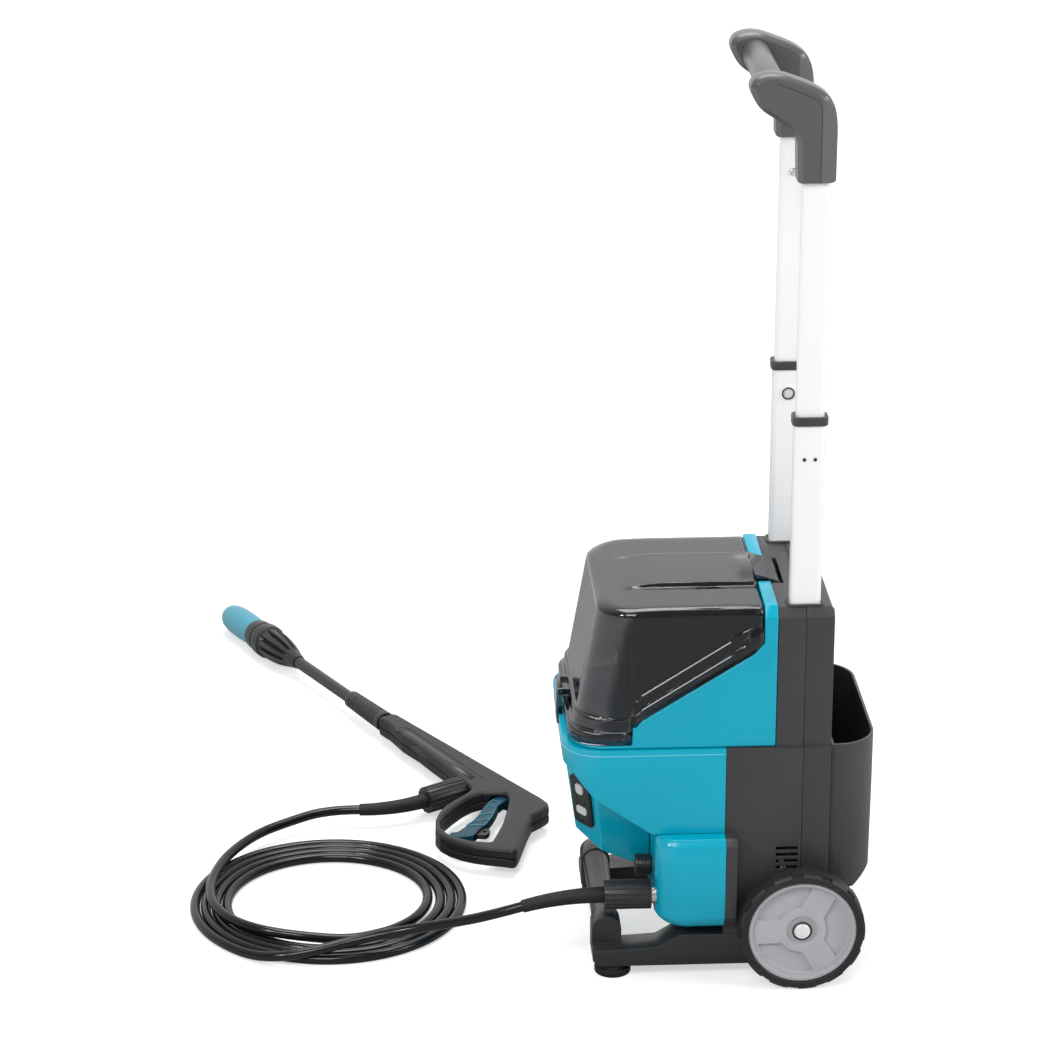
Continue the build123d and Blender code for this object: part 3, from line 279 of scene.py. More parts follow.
# Rear housing, rear cover and storage box
# Black ABS shells, screwed together, that carry the handle tubes. The open box behind them holds the gun and
# the hose. Their grained skin shows as a soft dark grey.
black_abs = moulded_plastic("black_abs", "3a393b", "353436", 0.38, 1.4, 0.04, 1.0, 0.45)
rolled(black_abs, 2.2, "rear_housing", "rear_cover")
rolled(black_abs, 1.4, "storage_box")

# Coloured housing
# Teal ABS shells, moulded in one batch and screwed to the frame: belt, chin, pump housing and upper shell.
# The lever on top is of the same plastic. The mould is smooth, so the full colour carries a soft sheen.
teal_abs = moulded_plastic("teal_abs", "00a0ba", "009ab4", 0.2, 1.2, 0.012, 1.2, 0.42)
rolled(teal_abs, 3.0, "belt_shell")
rolled(teal_abs, 2.2, "chin_shell", "upper_shell")
rolled(teal_abs, 1.2, "top_lever")

# The belt's upper rim is a thin rounded bead that stands a little proud of the belt all round its front.
# The bead is paler than the shells: a painted highlight along the rim. It leaves room for the latch, so it
# is drawn in two runs.
RIM_DROP = 6.5
RIM_BEAD = 0.8
LATCH_ROOM = 34.0
rim_highlight_teal = moulded_plastic("teal_abs_painted_highlight", "4fbccf", "49b6ca", 0.16, 1.2, 0.005, 0.4, 0.6)


def outer_run(points):
    """Convex outline of plan points, in order round it."""
    chains = []
    for ordered in (sorted(points), sorted(points, reverse=True)):
        chain = []
        for x, y in ordered:
            while len(chain) > 1 and ((chain[-1][0] - chain[-2][0]) * (y - chain[-2][1])
                                      <= (chain[-1][1] - chain[-2][1]) * (x - chain[-2][0])):
                chain.pop()
            chain.append((x, y))
        chains.append(chain[:-1])
    return chains[0] + chains[1]


rim_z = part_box("belt_shell")[1].z - RIM_DROP * MM
form = bmesh.new()
form.from_mesh(nodes["belt_shell"].data)
cut = bmesh.ops.bisect_plane(form, geom=form.verts[:] + form.edges[:] + form.faces[:], plane_co=(0, 0, rim_z),
                             plane_no=(0, 0, 1))
sliced = [g.co / MM - machine_middle for g in cut["geom_cut"] if isinstance(g, bmesh.types.BMVert)]
form.free()
rim_line = outer_run([(p.x, p.y) for p in sliced])
# The outline starts at the rear of the right side, so it runs round the front to the rear of the left.
first = max(range(len(rim_line)), key=lambda i: (round(rim_line[i][0]), rim_line[i][1]))
rim_line = rim_line[first:] + rim_line[:first]
belt_rim = [(x, y, rim_z / MM) for x, y in rim_line]
for (side, hand), run in zip(SIDES[::-1], (belt_rim, belt_rim[::-1])):
    bead = []
    for here, there in zip(run, run[1:]):
        bead.append(here)
        if side * there[1] < LATCH_ROOM:
            share = (here[1] - side * LATCH_ROOM) / (here[1] - there[1])
            bead.append(tuple(a + (b - a) * share for a, b in zip(here, there)))
            break
    wire("belt_rim_" + hand, bead, RIM_BEAD, False, rim_highlight_teal, nodes["belt_shell"]["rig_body"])

# The pump housing is softer than the rest: its outer corner, its foot and its top edge are broad curves.
PUMP_CORNER = 24.0
PUMP_FOOT = 18.0
PUMP_BROW = 9.0
PUMP_WALL = 2.5
FOOT_DRAW_X, FOOT_DRAW_Y = 17.0, 15.0
BROW_DRAW_X, BROW_DRAW_Y = 3.0, 7.0
pump_low, pump_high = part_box("pump_housing")
pump_low, pump_high = pump_low / MM - machine_middle, pump_high / MM - machine_middle
pump_tall = pump_high.z - pump_low.z
pump_levels = [PUMP_FOOT * share for share in (0, 0.06, 0.14, 0.25, 0.4, 0.55, 0.75, 1)]
pump_levels += [pump_tall - PUMP_BROW * share for share in (1, 0.75, 0.5, 0.33, 0.2, 0.09, 0)]


def worn(height, room, depth):
    """How far a soft edge draws in at a height, between a chamfer and a round."""
    left = max(0.0, 1 - height / room)
    return depth * (0.5 * left + 0.5 * (1 - (1 - left * left) ** 0.5))


def join_rings(form, rings, open_sides=0):
    """Skins rings of points one after another and closes both ends; the last sides of each can stay open."""
    for here, there in zip(rings, rings[1:]):
        for i in range(len(here) - open_sides):
            j = (i + 1) % len(here)
            form.faces.new((here[i], here[j], there[j], there[i]))
    form.faces.new(rings[0])
    form.faces.new(rings[-1])


def give_wall(piece, name, thickness_mm):
    """Thickens an open skin inwards."""
    wall = piece.modifiers.new(name, "SOLIDIFY")
    wall.thickness = thickness_mm * MM
    wall.offset = -1.0


def keep_creases(piece, sharper_than):
    """Keeps edges sharper than an angle crisp under smooth shading."""
    crease = piece.modifiers.new("crease", "EDGE_SPLIT")
    crease.split_angle = radians(sharper_than)


form = bmesh.new()
pump_rings = []
for level in pump_levels:
    below_top = pump_tall - level
    front = pump_low.x + worn(level, PUMP_FOOT, FOOT_DRAW_X) + worn(below_top, PUMP_BROW, BROW_DRAW_X)
    side = pump_low.y + worn(level, PUMP_FOOT, FOOT_DRAW_Y) + worn(below_top, PUMP_BROW, BROW_DRAW_Y)
    plan = [(pump_high.x, side)]
    for degrees in range(270, 179, -9):
        turn = radians(degrees)
        plan.append((front + PUMP_CORNER * (1 + cos(turn)), side + PUMP_CORNER * (1 + sin(turn))))
    plan += [(front, pump_high.y), (pump_high.x, pump_high.y)]
    height = machine_middle.z + pump_low.z + level
    pump_rings.append([form.verts.new(in_frame(x, y, height)) for x, y in plan])
# It is open towards the drive, on its inner side and at its rear.
join_rings(form, pump_rings, open_sides=2)
bmesh.ops.recalc_face_normals(form, faces=form.faces)
pump_cover = new_piece("pump_cover", form, teal_abs, nodes["pump_housing"]["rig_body"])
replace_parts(pump_cover, "pump_housing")
give_wall(pump_cover, "pump_wall", PUMP_WALL)
keep_creases(pump_cover, 40)

# Control panel
# A dark ABS insert, clipped into the chin, with two pale silicone keys. The keys' faces are bare.
# The insert is satin and darker than the shells; the keys are matt.
panel_plastic = moulded_plastic("panel_plastic", "242527", "1f2022", 0.3, 1.0, 0.02, 0.6)
key_silicone = moulded_plastic("key_silicone", "c9cbca", "c0c2c1", 0.5, 1.0, 0.02, 0.6)
rolled(panel_plastic, 1.0, "control_panel")
rolled(key_silicone, 1.2, "power_key", "mode_key")

# Motor, pump and controller inside the housing
# A painted steel motor can, a die-cast pump with plated pistons and outlet, and a coated circuit board.
# Cast metal is dull and grey, turned metal is bright, and paint and lacquer are satin. The water inlet is
# moulded nylon, and its thread is drawn as rings.
cast_aluminium = turned_steel("die_cast_aluminium", "b4b5b6", 0.5, 1.5)
turned_brass = turned_steel("turned_brass", "c9a55c", 0.28, 0.8)
board_lacquer = moulded_plastic("board_lacquer", "1f5a36", "1a4e2e", 0.35, 1.0, 0.02, 0.4)
painted_steel = turned_steel("black_painted_steel", "161617", 0.5, 1.5, 0.0)
dress(painted_steel, "motor_can")
dress(zinc_steel, "motor_rotor", "pump_pistons", "outlet_fitting")
dress(cast_aluminium, "pump_block")
dress(board_lacquer, "controller")
rolled(black_nylon, 0.8, "inlet_fitting")
THREAD_START, THREAD_PITCH, THREAD_BEAD, THREAD_TURNS = 3.0, 4.0, 0.9, 4
inlet_low, inlet_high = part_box("inlet_fitting")
inlet_middle = (inlet_low + inlet_high) / 2 / MM
inlet_radius = (inlet_high.z - inlet_low.z) / 2 / MM
for count in range(THREAD_TURNS):
    start = inlet_low.x / MM - machine_middle.x + THREAD_START + THREAD_PITCH * count
    ring = hoop((start, inlet_middle.y - machine_middle.y, inlet_middle.z), inlet_radius, 40, axis="X")
    wire(f"inlet_thread_{count + 1}", ring, THREAD_BEAD, True, black_nylon, "machine")

# Battery bay
# Two black ABS packs slide on to a nylon dock that is screwed to the upper shell. They are seen dimly through
# the lid.
rolled(black_nylon, 1.0, "battery_dock")
rolled(black_abs, 3.0, "left_battery", "right_battery")

# Lid and latch
# Smoked polycarbonate, polished in the mould, so it is clear but dark and reflects the room sharply.
# One thin shell: a raised crown between two shoulders, a front that leans back, and a proud lip along
# its slanting lower edge with a narrow shelf over it. It hangs on a tab that reaches the hinge pin.
LID_WALL = 2.6
LID_REAR = -47.6
LID_FRONT = -260.0
LID_FOOT = 285.6
LID_LEAN = 0.175
LID_HALF = 118.0
LID_CORNER = 44.0
LIP_HALF = 122.0
LIP_FRONT = -264.0
LIP_CORNER = 38.0
WALL_TOP = 442.0
SHOULDER = 452.0
FALL_START, FALL_LENGTH, FALL = -150.0, 60.0, 2.0
CROWN_RISE = 4.6
CROWN_HALF = 46.0
CROWN_STEP = 4.0
CROWN_END, CROWN_FADE = -160.0, 48.0
RIDGE_RISE = 3.5
RIDGE_HALF, RIDGE_FLANK = 14.0, 26.0
RIDGE_START, RIDGE_FADE = -72.0, 12.0
SPINE_FRONT = -175.0
RUN_START = -182.6
NOTCH_SHARE = 0.286
LOWER_EDGE = ((-195.0, 311.8), (-58.5, 398.8), (LID_REAR, 411.0))
FRONT_LOW = 290.6
# Height above the lower edge, and how far the surface stands out there: 1 is the lip, 0 the lid's side.
LIP_SECTION = ((0, 1), (12.6, 1), (13.4, 0.98), (14, 0.9), (14.5, 0.72), (14.9, 0.5), (15.4, 0.38),
               (16.2, 0.34), (20, 0.33), (26, 0.32), (28.8, 0.31), (29.5, 0.28), (30, 0.2), (30.4, 0.09),
               (31, 0.02), (32, 0))
LIP_STEPS = [height for height, out in LIP_SECTION]
# The lip also turns up the lid's rear edge, where its two runs meet in a soft corner. It ends near the top.
LIP_LEAST_ROOM = 42.0
LIP_END_LOW, LIP_END_RUN, LIP_END_AWAY = 416.0, 24.0, 60.0
LIP_MEET = 4.0
LIP_REAR_FROM = -120.0
ROUND_SIDE, ROUND_FRONT = 11.0, 15.0
# How finely the lid's wall, the round over it, its front corners and half its front are drawn.
WALL_STEPS, ROUND_STEPS, CORNER_STEPS, FRONT_STEPS = 9, 6, 12, 26
# Distances from the middle at which the lid's top is drawn, out of a half of ROOF_HALF.
ROOF_HALF = 107.0
ROOF_LINES = (100, 94, 84, 74, 64, 57, 53.5, 52, 51, 50, 49, 48, 47, 46, 44.5, 42, 36, 26, 13, 0)


def between(table, value):
    """Reads a table of pairs at a value, straight between its rows and level beyond them."""
    if value <= table[0][0]:
        return table[0][1]
    for (low, first), (high, last) in zip(table, table[1:]):
        if value <= high:
            return first + (last - first) * (value - low) / (high - low)
    return table[-1][1]


def eased(value):
    """Smooth step from 0 to 1."""
    held = min(max(value, 0.0), 1.0)
    return held * held * (3 - 2 * held)


def lid_outline(column, place, z, out):
    """Plan position of a column of the lid at a height; out leads from the lid's side to its lip."""
    front = LID_FRONT + LID_LEAN * (z - LID_FOOT)
    points = []
    for nose, half, corner in ((front, LID_HALF, LID_CORNER), (LIP_FRONT, LIP_HALF, LIP_CORNER)):
        if column == "side":
            points.append(Vector((place, half)))
        elif column == "run":
            points.append(Vector((RUN_START + (nose + corner - RUN_START) * place, half)))
        elif column == "corner":
            turn = radians(place)
            points.append(Vector((nose + corner - corner * sin(turn), half - corner + corner * cos(turn))))
        else:
            points.append(Vector((nose, (half - corner) * place)))
    return points[0].lerp(points[1], out) if out >= 0 else points[0] + (points[1] - points[0]) * out


def roof_height(x, y):
    """Height of the lid's top: a crown between two shoulders that sinks into them at its front."""
    ahead = max(FALL_START - x, 0) / FALL_LENGTH
    on_crown = 1 - eased((abs(y) - CROWN_HALF) / CROWN_STEP)
    crown = CROWN_RISE * (1 - eased((CROWN_END - x) / CROWN_FADE)) * on_crown
    on_ridge = 1 - eased((abs(y) - RIDGE_HALF) / RIDGE_FLANK)
    ridge = RIDGE_RISE * eased((x - RIDGE_START) / RIDGE_FADE) * on_ridge
    return SHOULDER - FALL * ahead ** 2 + crown + ridge


def lid_column(column, place):
    """Points of one column of the lid, from its lower edge up its side and over the top to the middle."""
    low = FRONT_LOW
    if column == "side":
        low = between(LOWER_EDGE, place)
    elif column == "run" and place < NOTCH_SHARE:
        low = LOWER_EDGE[0][1]
    room = WALL_TOP - low
    heights = [h * min(1, room / LIP_LEAST_ROOM) for h in LIP_STEPS]
    heights += [heights[-1] + (room - heights[-1]) * i / WALL_STEPS for i in range(1, WALL_STEPS + 1)]
    points = []
    for height in heights:
        z = low + height
        inset = height
        if column == "side":
            rear = LID_REAR - place + LIP_END_AWAY * eased((z - LIP_END_LOW) / LIP_END_RUN)
            if place > LIP_REAR_FROM:
                inset = -LIP_MEET * log(exp(-height / LIP_MEET) + exp(-rear / LIP_MEET))
        spot = lid_outline(column, place, z, between(LIP_SECTION, inset))
        points.append((spot.x, spot.y, z))
    edge = Vector(points[-1][:2])
    turn = {"side": 0.0, "run": 0.0, "corner": sin(radians(place)) ** 2, "front": 1.0}[column]
    middle = Vector((max(edge.x, SPINE_FRONT), 0)) if column in ("side", "run") else Vector((SPINE_FRONT, 0))
    reach = ROUND_SIDE + ROUND_FRONT * turn
    inner = edge + (middle - edge).normalized() * reach
    rise = roof_height(inner.x, inner.y) - WALL_TOP
    for step in range(1, ROUND_STEPS + 1):
        bend = radians(90 / ROUND_STEPS * step)
        spot = edge.lerp(inner, 1 - cos(bend))
        points.append((spot.x, spot.y, WALL_TOP + rise * sin(bend)))
    for y in ROOF_LINES:
        spot = inner.lerp(middle, 1 - y / ROOF_HALF)
        points.append((spot.x, spot.y, roof_height(spot.x, spot.y)))
    return points


# Where the lid's columns stand: distances from its rear edge, then shares of the run to the front corner.
SIDE_LINES = (0, 4, 8, 10.9, 12, 13, 14, 14.8, 15.5, 16.3, 17.5, 20, 24, 28.4, 29.4, 30.2, 31, 32, 33, 38,
              46, 56, 66, 76, 86, 96, 106, 116, 126, 135)
RUN_LINES = (0.14, 0.28, 0.2857, 0.288, 0.5, 0.75)
lid_columns = [("side", LID_REAR - away) for away in SIDE_LINES] + [("run", share) for share in RUN_LINES]
lid_columns += [("corner", 90 / CORNER_STEPS * i) for i in range(CORNER_STEPS + 1)]
lid_columns += [("front", 1 - i / FRONT_STEPS) for i in range(1, FRONT_STEPS + 1)]
form = bmesh.new()
lid_rows = []
for column, place in lid_columns:
    lid_rows.append([form.verts.new(in_frame(x, -y, z)) for x, y, z in lid_column(column, place)])
for column, place in lid_columns[-2::-1]:
    lid_rows.append([form.verts.new(in_frame(x, y, z)) for x, y, z in lid_column(column, place)])
for here, there in zip(lid_rows, lid_rows[1:]):
    for i in range(len(here) - 1):
        form.faces.new((here[i], there[i], there[i + 1], here[i + 1]))
form.faces.new(lid_rows[0][::-1] + lid_rows[-1][:-1])
bmesh.ops.remove_doubles(form, verts=form.verts, dist=0.01 * MM)
bmesh.ops.recalc_face_normals(form, faces=form.faces)


# Spacing of the faint haze on the polished skin.
HAZE_MM = 25.0


def smoked_polycarbonate(name, colour, roughness):
    """Clear dark plastic; most of its look is what it reflects."""
    material, tree, output = new_material(name)
    place = add_node(tree, "ShaderNodeTexCoord", {}, {})
    haze = add_node(tree, "ShaderNodeTexNoise", {"Scale": 1 / (HAZE_MM * MM), "Detail": 2.0},
                    {"Vector": place.outputs["Object"]})
    skin = add_node(tree, "ShaderNodeMapRange", {"To Min": roughness, "To Max": roughness + 0.03},
                    {"Value": haze.outputs["Fac"]})
    shader = add_node(tree, "ShaderNodeBsdfPrincipled",
                      {"Base Color": linear(colour), "IOR": 1.58, "Transmission Weight": 1.0},
                      {"Roughness": skin.outputs[0]})
    tree.links.new(shader.outputs[0], output.inputs["Surface"])
    return material


smoke = smoked_polycarbonate("smoked_polycarbonate", "6a6971", 0.04)
lid_cover = new_piece("lid_cover", form, smoke, "lid")
give_wall(lid_cover, "lid_wall", LID_WALL)
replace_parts(lid_cover, "battery_lid")
rolled(smoke, 1.0, "lid_latch")
# The lip and the shelf above it end in a fine bead where they slant up the lid's sides. It is opaque and
# pale: a painted highlight along the lip's edges. Each follows one row of LIP_SECTION.
LID_BEAD = 0.6
BEAD_LINES = (36, 60, 85, 110, 135)
lid_highlight_paint = moulded_plastic("lid_bead_painted_highlight", "b4b7bc", "a8abb0", 0.2, 1.0, 0.005, 0.2, 0.6)
for name, row in (("lip", 2), ("shelf", 11)):
    slant = [lid_column("side", LID_REAR - away)[row] for away in BEAD_LINES]
    for side, hand in SIDES:
        bead = [(x, side * y, z) for x, y, z in slant]
        wire(f"lid_{name}_bead_{hand}", bead, LID_BEAD, False, lid_highlight_paint, "lid")


def swept(outline, low, high):
    """Prism of an X and Z outline in millimetres, carried across the machine between two Y values."""
    form = bmesh.new()
    join_rings(form, [[form.verts.new(in_frame(x, y, z)) for x, z in outline] for y in (low, high)])
    bmesh.ops.recalc_face_normals(form, faces=form.faces)
    return form


# The tab laps the lid, and bends below the level of the lid's top to a barrel round the hinge pin.
HINGE_X, HINGE_Z = -25.0, 447.0
TAB_HALF = 36.0
TAB_TOP, TAB_FOOT, TAB_LAP = 460.5, 456.0, 1.0
TAB_BEND, TAB_BEND_AWAY = 451.5, 8.0
BARREL = 6.0
# Two ears on the lid's front hold the latch's pin.
EAR_INNER, EAR_OUTER = 16.0, 21.0
EAR_FRONT, EAR_REAR = -271.4, -256.0
EAR_LOW, EAR_HIGH = 309.0, 318.0
barrel_turns = [radians(t) for t in range(90, -181, -15)]
barrel = [(HINGE_X + BARREL * cos(t), HINGE_Z + BARREL * sin(t)) for t in barrel_turns]
tab_outline = [(LID_REAR - TAB_LAP, TAB_TOP)] + barrel
tab_outline += [(HINGE_X - TAB_BEND_AWAY, TAB_BEND), (LID_REAR - TAB_LAP, TAB_FOOT)]
lid_tab = new_piece("lid_tab", swept(tab_outline, -TAB_HALF, TAB_HALF), smoke, "lid")
roll_edges(lid_tab, 0.8)
ear_outline = [(EAR_FRONT, EAR_LOW), (EAR_REAR, EAR_LOW), (EAR_REAR, EAR_HIGH), (EAR_FRONT, EAR_HIGH)]
for side, hand in SIDES:
    low, high = sorted((side * EAR_INNER, side * EAR_OUTER))
    ear = new_piece("latch_ear_" + hand, swept(ear_outline, low, high), smoke, "lid")
    roll_edges(ear, 1.2)

# Telescopic handle
# Drawn aluminium tubes, satin anodised, that slide in each other through ABS collars. Pale buttons free the
# steel studs that hold them. Each grip is a nylon moulding with a broad facet on each side of its rear.


def anodised_aluminium(name, colour, roughness, line_mm):
    """Drawn tube, anodised: fine lines along its length under a pale satin skin."""
    material, tree, output = new_material(name)
    place = add_node(tree, "ShaderNodeTexCoord", {}, {})
    along = add_node(tree, "ShaderNodeMapping", {"Scale": (1.0, 1.0, 0.01)}, {0: place.outputs["Object"]})
    lines = add_node(tree, "ShaderNodeTexNoise", {"Scale": 1 / (line_mm * MM), "Detail": 2.0},
                     {"Vector": along.outputs[0]})
    skin = add_node(tree, "ShaderNodeMapRange", {"To Min": roughness - 0.05, "To Max": roughness + 0.05},
                    {"Value": lines.outputs["Fac"]})
    shader = add_node(tree, "ShaderNodeBsdfPrincipled", {"Base Color": linear(colour), "Metallic": 0.1},
                      {"Roughness": skin.outputs[0]})
    tree.links.new(shader.outputs[0], output.inputs["Surface"])
    return material


# The skin scatters light, so the tubes look nearly white. Its fine lines are drawn at 1.2 mm, coarser than
# they are, or they would not show.
tube_aluminium = anodised_aluminium("anodised_aluminium", "eeeeef", 0.36, 1.2)
dress(tube_aluminium, "left_lower_tube", "right_lower_tube", "left_upper_tube", "right_upper_tube")
dress(black_nylon, "tube_rivets")
rolled(black_abs, 1.2, "tube_collars")
# The grips come from a smoother mould than the frame, so they carry broad soft highlights.
grip_nylon = moulded_plastic("grip_nylon", "4c4b4e", "464548", 0.3, 1.4, 0.02, 0.4, 0.8)
rolled(grip_nylon, 1.0, "grip_bar")
rolled(key_silicone, 0.8, "left_button", "right_button")
rolled(zinc_steel, 0.8, "left_stud", "right_stud")
# A thin black ring frames each button on the inner face of its tube.
BUTTON_RING = 6.6
BUTTON_BEAD = 1.0
for side, hand in SIDES:
    low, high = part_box(hand + "_button")
    tube_low, tube_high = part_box(hand + "_lower_tube")
    face = (tube_low.y if side > 0 else tube_high.y) / MM - machine_middle.y
    middle = (low + high) / 2 / MM
    ring = hoop((middle.x - machine_middle.x, face, middle.z), BUTTON_RING, 36)
    wire(hand + "_button_ring", ring, BUTTON_BEAD, True, black_nylon, "machine")
# The arms' feet, up to this height, keep nearly all their width where the outline is drawn in.
FOOT_TOP = 941.0
FOOT_DRAW = 0.2


def rounded_outline(corners, steps=6):
    """Closed outline with its corners turned to arcs: corners are X, Z and the length cut off each side."""
    points = []
    count = len(corners)
    for i, (x, z, cut) in enumerate(corners):
        here = Vector((x, z))
        before = Vector(corners[i - 1][:2])
        after = Vector(corners[(i + 1) % count][:2])
        start = here + (before - here).normalized() * min(cut, (before - here).length * 0.49)
        end = here + (after - here).normalized() * min(cut, (after - here).length * 0.49)
        for step in range(steps + 1):
            t = step / steps
            points.append(start * (1 - t) ** 2 + here * 2 * t * (1 - t) + end * t * t)
    return points


def drawn_in(points, inset, rear_x):
    """Arm outline moved inwards and cut off at rear_x; its foot stays nearly level."""
    moved = []
    count = len(points)
    area = sum(points[i - 1].x * points[i].y - points[i].x * points[i - 1].y for i in range(count))
    for i, here in enumerate(points):
        run = (points[(i + 1) % count] - points[i - 1]).normalized()
        inward = Vector((-run.y, run.x)) if area > 0 else Vector((run.y, -run.x))
        there = here + inward * inset
        height = there.y if here.y > FOOT_TOP else here.y + FOOT_DRAW * inset
        moved.append(Vector((min(there.x, rear_x), height)))
    return moved


arm_corners = [
    (-22, 936, 4), (19.8, 936, 4), (20, 1014, 24), (7, 1037, 24), (-46, 1057, 16), (-69, 1053, 12),
    (-75.5, 1042, 9), (-73, 1032, 9), (-63, 1016, 14), (-45, 1005, 16), (-23.5, 989, 12),
]
# Distance from the arm's middle, how far the outline is drawn in there, and where the rear facet cuts it off.
ARM_LAYERS = ((-16, 5.5, 2.5), (-15.5, 4.8, 4.0), (-12.4, 1.6, 11.5), (-10.6, 0.4, 16.0), (-9, 0, 20.0),
              (9, 0, 20.0), (10.6, 0.4, 16.0), (12.4, 1.6, 11.5), (15.5, 4.8, 4.0), (16, 5.5, 2.5))
ARM_HALF = 16.0
POST_Y = 100.0
# A thin rim frames each tube where it enters the housing.
SOCKET_X, SOCKET_Y, SOCKET_Z = 19.6, 12.0, 451.6
SOCKET_CORNER = 6.0
SOCKET_BEAD = 1.8
SQUARE = ((-1, -1), (1, -1), (1, 1), (-1, 1))
# A fine dark seam follows the facet on an arm's outer side and runs on along the top to the nose.
SEAM_BEAD = 0.35
SEAM_LINE = ((2.4, 938), (2.4, 1000), (2.2, 1019), (-2, 1027), (-16, 1034), (-46, 1046))
arm_outline = rounded_outline(arm_corners)
socket_corners = [(x * SOCKET_X, y * SOCKET_Y, SOCKET_CORNER) for x, y in SQUARE]
for side, hand in SIDES:
    rim = [(p.x, side * POST_Y + p.y, SOCKET_Z) for p in rounded_outline(socket_corners)]
    wire("tube_socket_" + hand, rim, SOCKET_BEAD, True, black_abs, "machine")
for side, hand in SIDES:
    arm = hand + "_arm"
    form = bmesh.new()
    layers = []
    for y, inset, rear_x in ARM_LAYERS:
        ring = drawn_in(arm_outline, inset, rear_x)
        layers.append([form.verts.new(in_frame(p.x, side * POST_Y + y, p.y)) for p in ring])
    join_rings(form, layers)
    bmesh.ops.remove_doubles(form, verts=form.verts, dist=0.01 * MM)
    bmesh.ops.recalc_face_normals(form, faces=form.faces)
    grip = new_piece(arm + "_grip", form, grip_nylon, "handle")
    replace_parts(grip, arm)
    keep_creases(grip, 17)
    seam = [(x, side * (POST_Y + ARM_HALF), z) for x, z in SEAM_LINE]
    wire(arm + "_seam", seam, SEAM_BEAD, False, black_nylon, "handle")

# Spray gun
# Two nylon shell halves round a brass valve, a coloured trigger with its lock, and a lance sheathed in nylon.
# The halves are soft all round where the hand holds them; the water tube shows as a long rib.


def melted(name, material, voxel_mm, passes):
    """CAD node remade with all its edges flowing into each other, as on a hand grip."""
    piece = remade(name, material)
    grid = piece.modifiers.new("even_skin", "REMESH")
    grid.mode = "VOXEL"
    grid.voxel_size = voxel_mm * MM
    grid.use_smooth_shade = True
    flow = piece.modifiers.new("soft_edges", "SMOOTH")
    flow.factor = 0.5
    flow.iterations = passes
    return piece


# The gun's nylon is grained for the hand, so it stays dark and even.
gun_nylon = moulded_plastic("gun_nylon", "252426", "212022", 0.36, 1.4, 0.05, 0.8, 0.28)
melted("gun_upper_half", gun_nylon, 1.3, 14)
melted("gun_lower_half", gun_nylon, 1.3, 14)
dress(turned_brass, "gun_valve")
# The trigger is teal nylon drawn darker than the housing: painted shade, for the guard's shadow over it.
shaded_trigger_nylon = moulded_plastic("teal_nylon_painted_shade", "0b4252", "083b4a", 0.34, 1.2, 0.015, 0.6, 0.3)
melted("trigger", shaded_trigger_nylon, 0.9, 8)
rolled(black_nylon, 0.8, "trigger_lock")
rolled(black_nylon, 0.6, "bayonet_sleeve")
dress(black_nylon, "lance_tube")
# The gun lies at this turn on the floor, in degrees, and its lance bends a little from the barrel's line.
GUN_LIE, LANCE_BEND = 123.0, 4.4
GUN_TURN, LANCE_TURN = radians(GUN_LIE), radians(GUN_LIE - LANCE_BEND)
GUN_START = Vector((-460.0, 563.7, 25.0))


def by_gun(x, y, z=0.0):
    """Point of the gun's own frame, X along the barrel and Y towards the grip, in the machine's frame."""
    turned_x = x * cos(GUN_TURN) - y * sin(GUN_TURN)
    turned_y = x * sin(GUN_TURN) + y * cos(GUN_TURN)
    return GUN_START + Vector((turned_x, turned_y, z))


# The trigger's broad side is opened out into a ladder of thin ribs in a paler teal: painted highlight.
rib_highlight_nylon = moulded_plastic("teal_nylon_painted_highlight", "1c6b82", "186378", 0.22, 1.2, 0.01, 0.6, 0.6)
TRIGGER_FACE = 6.0
TRIGGER_RIB = 1.0
rails = [
    ((-299, 32), (-309, 45), (-321, 57), (-333, 71), (-344, 87)),
    ((-290, 37), (-299, 51), (-316, 75), (-327, 93), (-332, 106)),
]
for count, line in enumerate(rails + list(zip(*rails))):
    rib = [by_gun(x, y, TRIGGER_FACE) for x, y in line]
    wire(f"trigger_rib_{count + 1}", rib, TRIGGER_RIB, False, rib_highlight_nylon, "trigger")
# A raised line on the barrel's broad side bounds the hand pad.
PAD_FACE = 12.7
PAD_BEAD = 1.1
pad_edge = [
    (-236, 15.5), (-175, 10.5), (-130, 7.5), (-90, 5.2), (-66, 4), (-54, 5), (-46, 9), (-45, 14), (-49, 19),
    (-56, 22.5),
]
pad_line = [by_gun(x, y, PAD_FACE) for x, y in pad_edge]
wire("gun_pad_edge", pad_line, PAD_BEAD, False, black_nylon, "machine")


def spun(start, ahead, stations, steps, flutes):
    """Round form on a level line: stations are distances and radii, flutes gives the depth of its grooves."""
    across = Vector((-ahead.y, ahead.x, 0))
    form = bmesh.new()
    rings = []
    for far, radius in stations:
        ring = []
        for i in range(steps):
            turn = 2 * pi * i / steps
            reach = radius - flutes(far, turn)
            spot = start + ahead * far + across * reach * cos(turn) + Vector((0, 0, reach * sin(turn)))
            ring.append(form.verts.new(in_frame(*spot)))
        rings.append(ring)
    join_rings(form, rings)
    bmesh.ops.recalc_face_normals(form, faces=form.faces)
    return form


def no_flutes(far, turn):
    """A plain round form."""
    return 0.0


